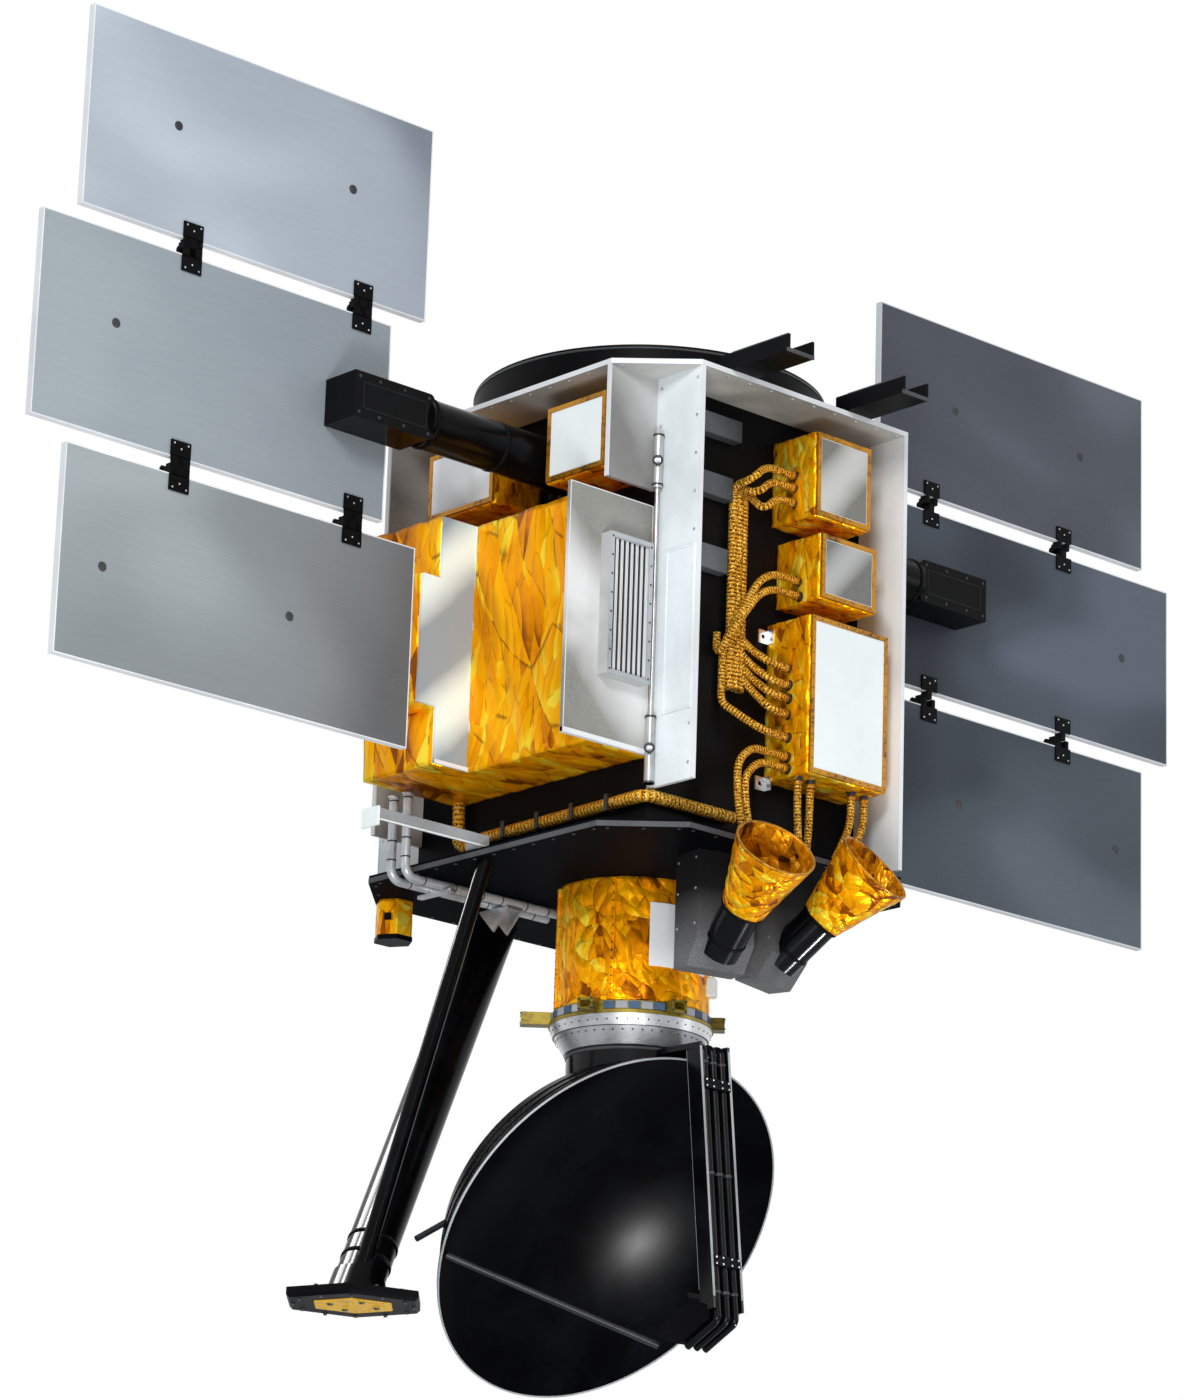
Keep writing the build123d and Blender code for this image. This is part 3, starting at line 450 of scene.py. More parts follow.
@dataclass(frozen=True)
class Gloss(Finish):
    """Dark composite with a soft gloss and a barely seen ply pattern.

    Attributes:
        colour: the composite itself.
        haze: colour that the surface drifts to.
        ply: pitch of the ply pattern in metres.
        rough: roughness of the composite.
        shine: level of the mirror reflection.
    """

    colour: Colour = (0.0015, 0.0015, 0.002)
    haze: Colour = (0.006, 0.0065, 0.008)
    ply: float = 0.006
    rough: float = 0.15
    shine: float = 0.16

    def lay(self, sheet: Sheet) -> None:
        """Black with haze, a fine ply wave and small changes in gloss."""
        slow = sheet.noise(sheet.place, 5.0, 4.0, 0.6, 0.5)
        colour = sheet.ramp(slow, [(0.35, self.colour), (0.75, self.haze)], smooth=True)
        colour, _ = sheet.specked(colour, (0.05, 0.05, 0.055), 0.2, 900.0, (0.72, 0.80))
        feeds = {"Vector": sheet.mapped(turn=(31, 17, 43)), "Scale": 0.31 / self.ply, "Distortion": 0.6,
                 "Detail": 1.0}
        plies = sheet.add("ShaderNodeTexWave", feeds).outputs["Fac"]
        rough = sheet.plus(sheet.times(slow, 0.12), self.rough - 0.04)
        sheet.set(Base_Color=colour, Roughness=rough, Normal=sheet.bump(plies, 0.0001, 0.12),
                  Specular_IOR_Level=self.shine)


@dataclass(frozen=True)
class Metal(Finish):
    """Bare or plated metal with a brushed grain.

    Attributes:
        colour: the metal's own colour.
        shade: colour in the grain.
        grain: how often the grain repeats along each axis.
    """

    colour: Colour = (0.72, 0.73, 0.75)
    shade: Colour = (0.42, 0.43, 0.46)
    grain: Point = (60.0, 60.0, 900.0)
    rough: float = 0.3
    metal: float = 0.85

    def lay(self, sheet: Sheet) -> None:
        """Grain along one direction over a slow change of tone."""
        lines = sheet.noise(sheet.vector("MULTIPLY", sheet.place, self.grain), 1.0, 2.0, 0.6)
        slow = sheet.noise(sheet.place, 9.0, 3.0, 0.6, 0.7)
        tone = sheet.plus(sheet.times(lines, 0.4), sheet.times(slow, 0.6))
        colour = sheet.ramp(tone, [(0.3, self.shade), (0.56, self.colour)], smooth=True)
        rough = sheet.plus(sheet.times(lines, 0.18), self.rough - 0.08)
        sheet.set(Base_Color=colour, Roughness=rough, Normal=sheet.bump(lines, 0.0002, 0.3),
                  Metallic=self.metal)


@dataclass(frozen=True)
class CloudedSkin(Finish):
    """Brushed back skin of a panel, with soft bright clouds of painted reflection, as on a polished sheet,
    and painted light along its length.

    Attributes:
        shade: darkest tone of the skin.
        light: tone of the bright clouds of painted reflection.
        clouds: how many clouds there are to a metre.
        shift: where the cloud pattern is read, so that no two panels are alike.
        face: height of the panel's cell face along Y, past which the skin is dark.
        painted_light_share: how far the tone follows the painted light along the length instead of the
            clouds.
        span: places along X between which the painted light goes from shade to light.
    """

    shade: Colour = (0.13, 0.16, 0.19)
    light: Colour = (0.62, 0.67, 0.72)
    clouds: float = 1.5
    shift: Point = (0.0, 0.0, 0.0)
    face: float = -0.0245
    painted_light_share: float = 0.0
    span: Span = (0.9, 1.9)

    def lay(self, sheet: Sheet) -> None:
        """Clouds of painted reflection slanting across the skin, painted light along X, fine brushing, rare
        specks and a dark cell side.
        """
        slanted = sheet.mapped(scale=(0.75, 1.0, 1.35), turn=(0.0, -28.0, 0.0), shift=self.shift)
        # cloud: bright clouds of painted reflection
        cloud = sheet.noise(slanted, self.clouds, 1.4, 0.45, 0.35)
        brushed = sheet.noise(sheet.vector("MULTIPLY", sheet.place, (9.0, 40.0, 420.0)), 1.0, 2.0, 0.6)
        mid = tuple(0.55 * a + 0.45 * b for a, b in zip(self.shade, self.light))
        # painted_slope: painted light that grows along X over the span
        painted_slope = sheet.plus(sheet.times(sheet.step(sheet.axis("X"), *self.span), 0.30), 0.35)
        cloud = sheet.plus(sheet.times(cloud, 1 - self.painted_light_share), sheet.times(painted_slope, self.painted_light_share))
        colour = sheet.ramp(cloud, [(0.36, self.shade), (0.50, mid), (0.64, self.light)], smooth=True)
        colour = sheet.vector("SCALE", colour, sheet.plus(sheet.times(brushed, 0.22), 0.89))
        colour, _ = sheet.specked(colour, (0.75, 0.8, 0.85), 0.35, 760.0, (0.66, 0.76))
        side = sheet.step(sheet.axis("Y"), self.face, self.face + 0.0005)
        colour = sheet.mix(side, colour, (0.02, 0.025, 0.04))
        rough = sheet.plus(sheet.times(brushed, 0.16), 0.36)
        sheet.set(Base_Color=colour, Roughness=rough, Normal=sheet.bump(brushed, 0.0003, 0.3), Metallic=0.08,
                  Specular_IOR_Level=0.12)


@dataclass(frozen=True)
class MirrorPlate(Finish):
    """Polished plate with diagonal bands of painted reflection.

    Attributes:
        shade: tone beside the bands.
        light: tone in the bands of painted reflection.
        turn: angles of the bands in degrees.
        pitch: distance between two bands in metres.
        start: where the first band lies along them.
        width: share of the plate that the bands take.
    """

    shade: Colour = (0.22, 0.225, 0.235)
    light: Colour = (0.95, 0.96, 0.97)
    turn: Point = (0.0, 38.0, 0.0)
    pitch: float = 0.30
    start: float = 0.0
    width: float = 0.5

    def lay(self, sheet: Sheet) -> None:
        """Soft bands of painted reflection across the plate, with a fine speckle in the shade."""
        line = sheet.part(sheet.mapped(turn=self.turn, shift=(self.start, 0.0, 0.0)))
        bent = sheet.noise(sheet.place, 6.0, 2.0)
        line = sheet.plus(line, sheet.times(bent, self.pitch * 0.16))
        wave = sheet.maths("SINE", sheet.times(line, math.tau / self.pitch))
        colour = sheet.mix(sheet.step(wave, 1 - 2 * self.width, 1.0), self.shade, self.light)
        colour, dust = sheet.specked(colour, (0.62, 0.63, 0.65), 0.28, 700.0, (0.6, 0.72))
        rough = sheet.plus(sheet.times(dust, 0.12), 0.24)
        sheet.set(Base_Color=colour, Roughness=rough, Normal=sheet.bump(bent, 0.0015, 0.2),
                  Specular_IOR_Level=0.12)


@dataclass(frozen=True)
class LouvreShade(Finish):
    """Pale louvre paint with black painted shade behind the slats' front edges.

    Attributes:
        colour: the paint on the frame.
        low: lower corner of the painted shade inside.
        high: upper corner of the painted shade inside.
    """

    colour: Colour = (0.50, 0.51, 0.51)
    low: Point = (0.0, 0.0, 0.0)
    high: Point = (0.0, 0.0, 0.0)

    def lay(self, sheet: Sheet) -> None:
        """Speckled paint, with black painted shade inside the frame."""
        slow = sheet.noise(sheet.place, 7.0, 3.0)
        dark = tuple(value * 0.75 for value in self.colour)
        colour = sheet.ramp(slow, [(0.35, dark), (0.65, self.colour)], smooth=True)
        colour, dust = sheet.specked(colour, (0.8, 0.8, 0.8), 0.4, 640.0, (0.62, 0.72))
        # inside: mask of the black painted shade behind the slats
        inside = 1.0
        for number, axis in enumerate("XYZ"):
            for edge, sign in ((self.low[number], 0.0003), (self.high[number], -0.0003)):
                within = sheet.step(sheet.axis(axis), edge - sign, edge + sign)
                inside = sheet.times(inside, within)
        colour = sheet.mix(inside, colour, (0.006, 0.006, 0.007))
        sheet.set(Base_Color=colour, Roughness=sheet.plus(sheet.times(slow, 0.2), 0.3),
                  Normal=sheet.bump(dust, 0.0003, 0.3), Specular_IOR_Level=0.2)


@dataclass(frozen=True)
class CellGlass(Finish):
    """Solar cell under its cover glass, with thin grid lines."""

    colour: Colour = (0.006, 0.012, 0.05)

    def lay(self, sheet: Sheet) -> None:
        """Deep blue that changes from cell to cell, thin silver lines and a clear coat."""
        patch = sheet.cells(sheet.place, 24.0).outputs["Color"]
        colour = sheet.mix(0.35, self.colour, patch, "MULTIPLY")
        slow = sheet.noise(sheet.place, 5.0, 3.0)
        colour = sheet.mix(slow, colour, (0.012, 0.022, 0.075))
        line = sheet.maths("PINGPONG", sheet.times(sheet.axis("X"), 420.0), 1.0)
        colour = sheet.mix(sheet.times(sheet.step(line, 0.9, 1.0), 0.55), colour, (0.5, 0.52, 0.56))
        sheet.set(Base_Color=colour, Roughness=sheet.plus(sheet.times(slow, 0.12), 0.12),
                  Coat_Weight=0.6, Coat_Roughness=0.06)


@dataclass(frozen=True)
class CableWrap(Finish):
    """Gold tape wound round a cable, with painted shade between its turns and painted glints on their crests.

    Attributes:
        pitch: distance between two turns in metres.
        tones: colours from the painted shade between the turns to the painted glints on their crests.
    """

    pitch: float = 0.0086
    tones: tuple[Colour, ...] = ((0.030, 0.009, 0.0005), (0.42, 0.130, 0.001), (0.98, 0.43, 0.002),
                                 (1.0, 0.82, 0.22))

    def lay(self, sheet: Sheet) -> None:
        """Turns read from the length along the cable, broken up by a fine crinkle."""
        along = sheet.add("ShaderNodeAttribute", attribute_name="along").outputs["Fac"]
        crinkle = sheet.noise(sheet.place, 210.0, 3.0, 0.62, 0.5)
        turn = sheet.plus(sheet.maths("DIVIDE", along, self.pitch), sheet.times(crinkle, 2.6))
        wave = sheet.maths("PINGPONG", turn, 0.5)
        tone = sheet.plus(sheet.times(wave, 0.9), sheet.times(crinkle, 1.0))
        # ramp from painted shade between the turns to painted glints on the crests
        colour = sheet.ramp(tone, list(zip((0.54, 0.66, 0.80, 0.96), self.tones)))
        normal = sheet.bump(wave, 0.004, 0.7)
        sheet.set(Base_Color=colour, Roughness=sheet.plus(sheet.times(crinkle, 0.2), 0.2),
                  Normal=sheet.bump(crinkle, 0.002, 0.5, normal), Metallic=0.4, Specular_IOR_Level=0.12)


BLANKET = Foil("foil_blanket", "gold_foil", contrast=1.3)
SMALL_BLANKET = Foil("foil_small", "gold_foil", folds=Folds(size=0.052, stretch=(0.7, 1.1, 0.42)),
                     contrast=1.35, tones=((0.34, 0.085, 0.0005), (0.78, 0.250, 0.0005), (0.98, 0.370,
                     0.0005), (1.0, 0.52, 0.003), (1.0, 0.80, 0.09)))
DRUM_BLANKET = Foil("foil_drum", "gold_foil", folds=Folds(size=0.060, stretch=(1.0, 1.0, 0.50), lean=(28.0,
                    20.0, 9.0), wander=4.2, fine=1.9), contrast=1.1)
CONE_BLANKET = Foil("foil_cone", "gold_foil", folds=Folds(size=0.036, stretch=(1.0, 0.9, 0.42), lean=(40.0,
                    12.0, 9.0), wander=4.0, fine=1.8), contrast=1.45)
# a darker copy of the cone foil: painted shade inside the cones
SHADED_CONE_INSIDE = Foil("foil_cone_inside", "gold_foil", folds=Folds(size=0.05, stretch=(1.0, 1.0, 0.5),
                   wander=4.0), contrast=1.2, tones=((0.03, 0.008, 0.001), (0.16, 0.042, 0.001), (0.46,
                   0.15, 0.001), (0.80, 0.31, 0.004), (0.98, 0.56, 0.05)))
PATCH_GOLD = Foil("foil_patch", "gold_foil", folds=Folds(size=0.07, stretch=(1.0, 1.0, 0.5)), contrast=0.5,
                  tones=((0.50, 0.20, 0.001), (0.90, 0.42, 0.001), (1.0, 0.56, 0.001), (1.0, 0.66, 0.005),
                         (1.0, 0.80, 0.06)), metal=0.2)
CABLE = CableWrap("cable_wrap", "gold_foil")
TRUNK_WRAP = CableWrap("trunk_wrap", "gold_foil", 0.0105)
# a lighter copy of the cable wrap: painted light on the low harness, which lies in shade under the boxes
FOOT_WRAP = CableWrap("foot_wrap", "gold_foil", 0.0125, ((0.10, 0.03, 0.001), (0.66, 0.22, 0.001), (1.0,
                      0.52, 0.003), (1.0, 0.88, 0.30)))
GOLD_FRAME = Metal("gold_frame", "gold_metal", (0.50, 0.22, 0.008), (0.08, 0.025, 0.002), (90.0, 90.0,
                   90.0), 0.34, 0.5)
GOLD_BAND = Metal("gold_band", "gold_metal", (0.27, 0.195, 0.016), (0.03, 0.02, 0.002), (40.0, 40.0, 160.0),
                  0.3, 0.5)
SILVER = Metal("silver_bare", "silver", (0.66, 0.67, 0.69), (0.40, 0.41, 0.44))
SILVER_PIPE = Metal("silver_pipe", "silver", (0.50, 0.53, 0.56), (0.36, 0.39, 0.42), (30.0, 30.0, 30.0),
                    0.28, 0.25)
SILVER_ROD = Metal("silver_rod", "silver", (0.52, 0.53, 0.53), (0.26, 0.26, 0.27), (260.0, 260.0, 5.0),
                   0.25, 0.6)
STEEL_DARK = Metal("steel_dark", "dark_grey", (0.045, 0.045, 0.05), (0.015, 0.015, 0.018), (80.0, 80.0,
                   500.0), 0.38, 0.5)
BRIGHT_EDGE = Paint("edge_bright", "silver", (0.78, 0.80, 0.82), (0.95, 0.95, 0.95), 0.2, 0.1, 0.38)
DARK_EDGE = Paint("edge_dark", "dark_grey", (0.07, 0.075, 0.08), (0.25, 0.25, 0.27), 0.3, 0.3, 0.36,
                  shine=0.15)
BLACK_PAINT = Paint("black_satin", "black_paint", (0.0030, 0.0030, 0.0038), (0.05, 0.05, 0.055), 0.15, 0.5,
                    0.42, shine=0.05)
CORE_BLACK = Paint("black_core", "black_paint", (0.0028, 0.0028, 0.0034), (0.06, 0.06, 0.065), 0.25, 0.5,
                   0.45, shine=0.05)
# DECK_GREY, WALL_WHITE, WALL_GREY and FIN_GREY carry a diagonal painted sheen
DECK_GREY = Paint("deck_grey", "grey_paint", (0.38, 0.375, 0.345), (0.62, 0.62, 0.60), 0.75, 0.35, 0.5,
                  (0.0, 0.0, 52.0), 0.35)
WALL_WHITE = Paint("wall_white", "white_paint", (0.80, 0.86, 0.88), (0.46, 0.47, 0.49), 0.45, 0.12, 0.42,
                   (0.0, 40.0, 90.0), 0.8)
WALL_GREY = Paint("wall_grey", "grey_paint", (0.25, 0.245, 0.235), (0.60, 0.60, 0.60), 0.65, 0.25, 0.45,
                  (0.0, 38.0, 0.0), 0.45)
FIN_GREY = Paint("fin_graded", "grey_paint", (0.24, 0.235, 0.21), (0.55, 0.55, 0.53), 0.65, 0.22, 0.45,
                 (0.0, 52.0, 0.0), 0.85)
# painted shade: the wall plates darken towards x = -0.075, deeper in the bay
PLATE_GREY = Paint("wall_plate_grey", "grey_paint", (0.20, 0.23, 0.26), (0.40, 0.42, 0.45), 0.6, 0.3, 0.4,
                   graded=("X", -0.075, -0.34))
RADIATOR = Paint("radiator_white", "radiator_white", (0.86, 0.92, 0.91), (0.76, 0.80, 0.80), 0.2, 0.04, 0.3)
# painted shade: the tracker housings darken towards their tops, under the deck
HOUSING_GREY = Paint("housing_speckled", "dark_grey", (0.13, 0.13, 0.132), (0.34, 0.34, 0.35), 0.8, 0.3,
                     0.46, shine=0.04, graded=("Z", -1.44, -1.61))
DECK_BLACK = Paint("black_deck", "black_paint", (0.0040, 0.0044, 0.0062), (0.06, 0.06, 0.07), 0.15, 0.4,
                   0.5, shine=0.004)
MAST_GLOSS = Gloss("black_mast", "black_gloss", (0.0010, 0.0010, 0.0013), (0.0030, 0.0032, 0.0040), 0.003,
                   0.17, 0.08)
# the radiator white raised to pure white: painted light on the drum's sheet, which lies in a tracker
# housing's shade
SHEET_WHITE = Paint("sheet_white", "radiator_white", (0.97, 1.0, 1.0), (0.85, 0.88, 0.88), 0.2, 0.02, 0.3)
BEAM_GREY = Paint("beam_grey", "grey_paint", (0.36, 0.38, 0.40), (0.75, 0.77, 0.79), 0.4, 0.3, 0.34)
BLACK_GLOSS = Gloss("black_gloss_tube", "black_gloss")
STRUT_GLOSS = Gloss("strut_gloss", "black_gloss", (0.012, 0.012, 0.014), (0.035, 0.036, 0.04), 0.006, 0.3,
                    0.3)
DISH_GLOSS = Gloss("black_dish", "dish_black", (0.0008, 0.0008, 0.0012), (0.0032, 0.0036, 0.0052), 0.009,
                   0.20, 0.018)
BLUE_BLOCK = Gloss("band_blue", "dark_grey", (0.030, 0.062, 0.13), (0.075, 0.125, 0.21), 0.004, 0.3, 0.2)
# the mirror plates carry diagonal bands of painted reflection
MIRROR_UPPER = MirrorPlate("mirror_upper", "radiator_white", (0.21, 0.205, 0.18), (0.60, 0.595, 0.555),
                           (0.0, -42.0, 0.0), 0.33, 0.08, 0.42)
MIRROR_MIDDLE = MirrorPlate("mirror_middle", "radiator_white", (0.18, 0.18, 0.17), (0.46, 0.465, 0.45),
                            (0.0, -42.0, 0.0), 0.26, 0.10, 0.45)
MIRROR_SIDE = MirrorPlate("mirror_side", "radiator_white", (0.62, 0.64, 0.66), (0.95, 0.97, 0.98),
                          (0.0, 42.0, 90.0), 0.30, 0.05, 0.6)
MIRROR_STEP = MirrorPlate("mirror_step", "white_paint", (0.31, 0.375, 0.43), (0.84, 1.0, 1.0),
                          (0.0, -48.0, 0.0), 0.30, 0.05, 0.60)
CELLS = CellGlass("solar_cells", "panel_grey")


class Growth(Nodes):
    """Geometry tree with named inputs that turns a seed mesh into a finished mesh."""

    def __init__(self, name: str) -> None:
        """Starts a tree with a geometry input, a geometry output and a material input."""
        super().__init__(bpy.data.node_groups.new(name, "GeometryNodeTree"))
        self.keys: dict[str, str] = {}
        self.entry("Geometry", "NodeSocketGeometry")
        self.tree.interface.new_socket("Geometry", in_out="OUTPUT", socket_type="NodeSocketGeometry")
        self.entry("Material", "NodeSocketMaterial")
        self.start = self.tree.nodes.new("NodeGroupInput")
        self.end = self.tree.nodes.new("NodeGroupOutput")

    def entry(self, name: str, kind: str, value=None) -> None:
        """Adds a named input with its first value."""
        item = self.tree.interface.new_socket(name, in_out="INPUT", socket_type=kind)
        if value is not None:
            item.default_value = value
        self.keys[name] = item.identifier

    def read(self, name: str) -> bpy.types.NodeSocket:
        """Socket of a named input."""
        return self.start.outputs[name]

    def named(self, name: str, kind: str) -> bpy.types.NodeSocket:
        """Attribute of the seed's points."""
        return self.add("GeometryNodeInputNamedAttribute", {"Name": name},
                        data_type=kind).outputs["Attribute"]

    def close(self, geometry: bpy.types.NodeSocket) -> None:
        """Realizes, sets the material and ends the tree."""
        real = self.add("GeometryNodeRealizeInstances", {"Geometry": geometry}).outputs[0]
        dressed = self.add("GeometryNodeSetMaterial", {"Geometry": real, "Material": self.read("Material")})
        self.tree.links.new(dressed.outputs[0], self.end.inputs[0])

    def grow(self, name: str, seed: bpy.types.Mesh, finish: Finish, **sizes) -> bpy.types.Mesh:
        """Runs the tree on a seed.

        Args:
            name: name of the finished mesh.
            seed: mesh that the tree starts from.
            finish: finish that the tree sets.
            sizes: values of the tree's named inputs, underscores standing for spaces.

        Returns:
            The plain mesh that the tree made.
        """
        host = bpy.data.objects.new(name + "_seed", seed)
        bpy.context.scene.collection.objects.link(host)
        modifier = host.modifiers.new("grow", "NODES")
        modifier.node_group = self.tree
        modifier[self.keys["Material"]] = finish.material()
        for key, value in sizes.items():
            modifier[self.keys[key.replace("_", " ")]] = value
        graph = bpy.context.evaluated_depsgraph_get()
        mesh = bpy.data.meshes.new_from_object(host.evaluated_get(graph), preserve_all_data_layers=True,
                                               depsgraph=graph)
        host.modifiers.remove(modifier)
        bpy.data.objects.remove(host)
        mesh.name = name
        if not mesh.materials:
            mesh.materials.append(finish.material())
        return mesh


class FixingTree(Growth):
    """Repeats one small fixing on points that say which way they face."""

    def __init__(self, shape: FixingShape) -> None:
        """Stacks the shape's frustums and instances them on the seed's points."""
        super().__init__("grow_" + shape.name.lower())
        self.entry("Size", "NodeSocketVector", (0.004, 0.004, 0.003))
        self.entry("Up", "NodeSocketVector", (0.0, 0.0, 1.0))
        stack = self.add("GeometryNodeJoinGeometry")
        for start, foot, head, height, sides in reversed(shape.value):
            cone = self.add("GeometryNodeMeshCone", {"Vertices": sides, "Radius Top": head,
                                                     "Radius Bottom": foot,
                                                     "Depth": height}).outputs["Mesh"]
            turn = (0.0, 0.0, math.pi / sides)
            raised = self.add("GeometryNodeTransform", {"Geometry": cone, "Translation": (0.0, 0.0, start),
                                                        "Rotation": turn}).outputs[0]
            self.tree.links.new(raised, stack.inputs[0])
        sized = self.add("GeometryNodeTransform", {"Geometry": stack.outputs[0], "Scale": self.read("Size")})
        facing = self.named("facing", "FLOAT_VECTOR")
        turn = self.add("FunctionNodeAlignRotationToVector", {"Vector": facing}, axis="Z").outputs[0]
        turn = self.add("FunctionNodeAlignRotationToVector", {"Rotation": turn, "Vector": self.read("Up")},
                        axis="X", pivot_axis="Z").outputs[0]
        placed = self.add("GeometryNodeInstanceOnPoints", {"Points": self.read("Geometry"),
                                                           "Instance": sized.outputs[0], "Rotation": turn})
        self.close(placed.outputs[0])


class CrumpleTree(Growth):
    """Crumples a finely cut shell outwards along the field of folds that its foil's colour follows."""

    def __init__(self, folds: Folds, name: str) -> None:
        """Moves each point along its normal by its distance to the creases."""
        super().__init__("crumple_" + name)
        self.entry("Large Height", "NodeSocketFloat", 0.008)
        self.entry("Small Height", "NodeSocketFloat", 0.003)
        place = self.add("GeometryNodeInputPosition").outputs[0]
        field_sockets = folds.lay(self, place)
        height = self.plus(self.times(field_sockets["large"], self.read("Large Height")),
                            self.times(field_sockets["small"], self.read("Small Height")))
        normal = self.add("GeometryNodeInputNormal").outputs[0]
        offset = self.vector("SCALE", normal, height)
        moved = self.add("GeometryNodeSetPosition", {"Geometry": self.read("Geometry"), "Offset": offset})
        smooth = self.add("GeometryNodeSetShadeSmooth", {"Geometry": moved.outputs[0], "Shade Smooth": True})
        self.close(smooth.outputs[0])


class WrapTree(Growth):
    """Winds tape round cables that follow a seed's edges."""

    def __init__(self) -> None:
        """Rounds the corners, divides the line and sweeps a circle whose radius swells at each turn."""
        super().__init__("wind_tape")
        for name, value in (("Radius", 0.010), ("Pitch", 0.0086), ("Swell", 0.045), ("Step", 0.0028)):
            self.entry(name, "NodeSocketFloat", value)
        line = self.add("GeometryNodeMeshToCurve", {0: self.read("Geometry")}).outputs[0]
        line = self.add("GeometryNodeFilletCurve", {"Curve": line, "Count": 10,
                                                    "Radius": self.named("bend", "FLOAT"),
                                                    "Limit Radius": True}, mode="POLY").outputs[0]
        line = self.add("GeometryNodeResampleCurve", {"Curve": line, "Length": self.read("Step")},
                        mode="LENGTH").outputs[0]
        length = self.add("GeometryNodeSplineParameter").outputs["Length"]
        stored = self.add("GeometryNodeStoreNamedAttribute",
                          {"Geometry": line, "Name": "along", "Value": length},
                          data_type="FLOAT", domain="POINT").outputs[0]
        turns = self.times(self.maths("DIVIDE", length, self.read("Pitch")), math.tau)
        wave = self.maths("SINE", turns)
        place = self.add("GeometryNodeInputPosition").outputs[0]
        lumps = self.maths("SUBTRACT", self.noise(place, 70.0, 2.0), 0.5)
        swell = self.times(self.plus(wave, self.times(lumps, 2.4)), self.read("Swell"))
        scale = self.times(self.plus(1.0, swell), self.read("Radius"))
        ring = self.add("GeometryNodeCurvePrimitiveCircle", {"Resolution": 12, "Radius": 1.0}).outputs[0]
        tube = self.add("GeometryNodeCurveToMesh", {"Curve": stored, "Profile Curve": ring, "Scale": scale,
                                                    "Fill Caps": True}).outputs[0]
        smooth = self.add("GeometryNodeSetShadeSmooth", {"Geometry": tube, "Shade Smooth": True})
        self.close(smooth.outputs[0])


@functools.cache
def fixing_tree(shape: FixingShape) -> FixingTree:
    """The tree of one fixing shape, built once."""
    return FixingTree(shape)


@functools.cache
def crumple_tree(folds: Folds) -> CrumpleTree:
    """The tree of one field of folds, built once."""
    return CrumpleTree(folds, f"{folds.size * 1000:.0f}")


def place_piece(name: str, mesh: bpy.types.Mesh, body: str, finish: Finish) -> bpy.types.Object:
    """Puts a finished mesh into the scene as a piece.

    Args:
        name: the piece's name.
        mesh: its mesh, with its place in its points.
        body: the CAD body that it rides on.
        finish: the finish that gives its material.

    Returns:
        The piece's object.
    """
    mesh.name = name
    if not mesh.materials:
        mesh.materials.append(finish.material())
    piece = bpy.data.objects.new(name, mesh)
    bpy.context.scene.collection.objects.link(piece)
    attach(piece, body)
    log.info("piece %s: %d faces on %s", name, len(mesh.polygons), body)
    return piece


def dress(finish: Finish, *nodes: str) -> None:
    """Gives CAD nodes a finish through their material slots."""
    for node in nodes:
        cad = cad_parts[node]
        if not cad.material_slots:
            raise ValueError(f"{node} has no material slot")
        for slot in cad.material_slots:
            slot.link = "OBJECT"
            slot.material = finish.material()


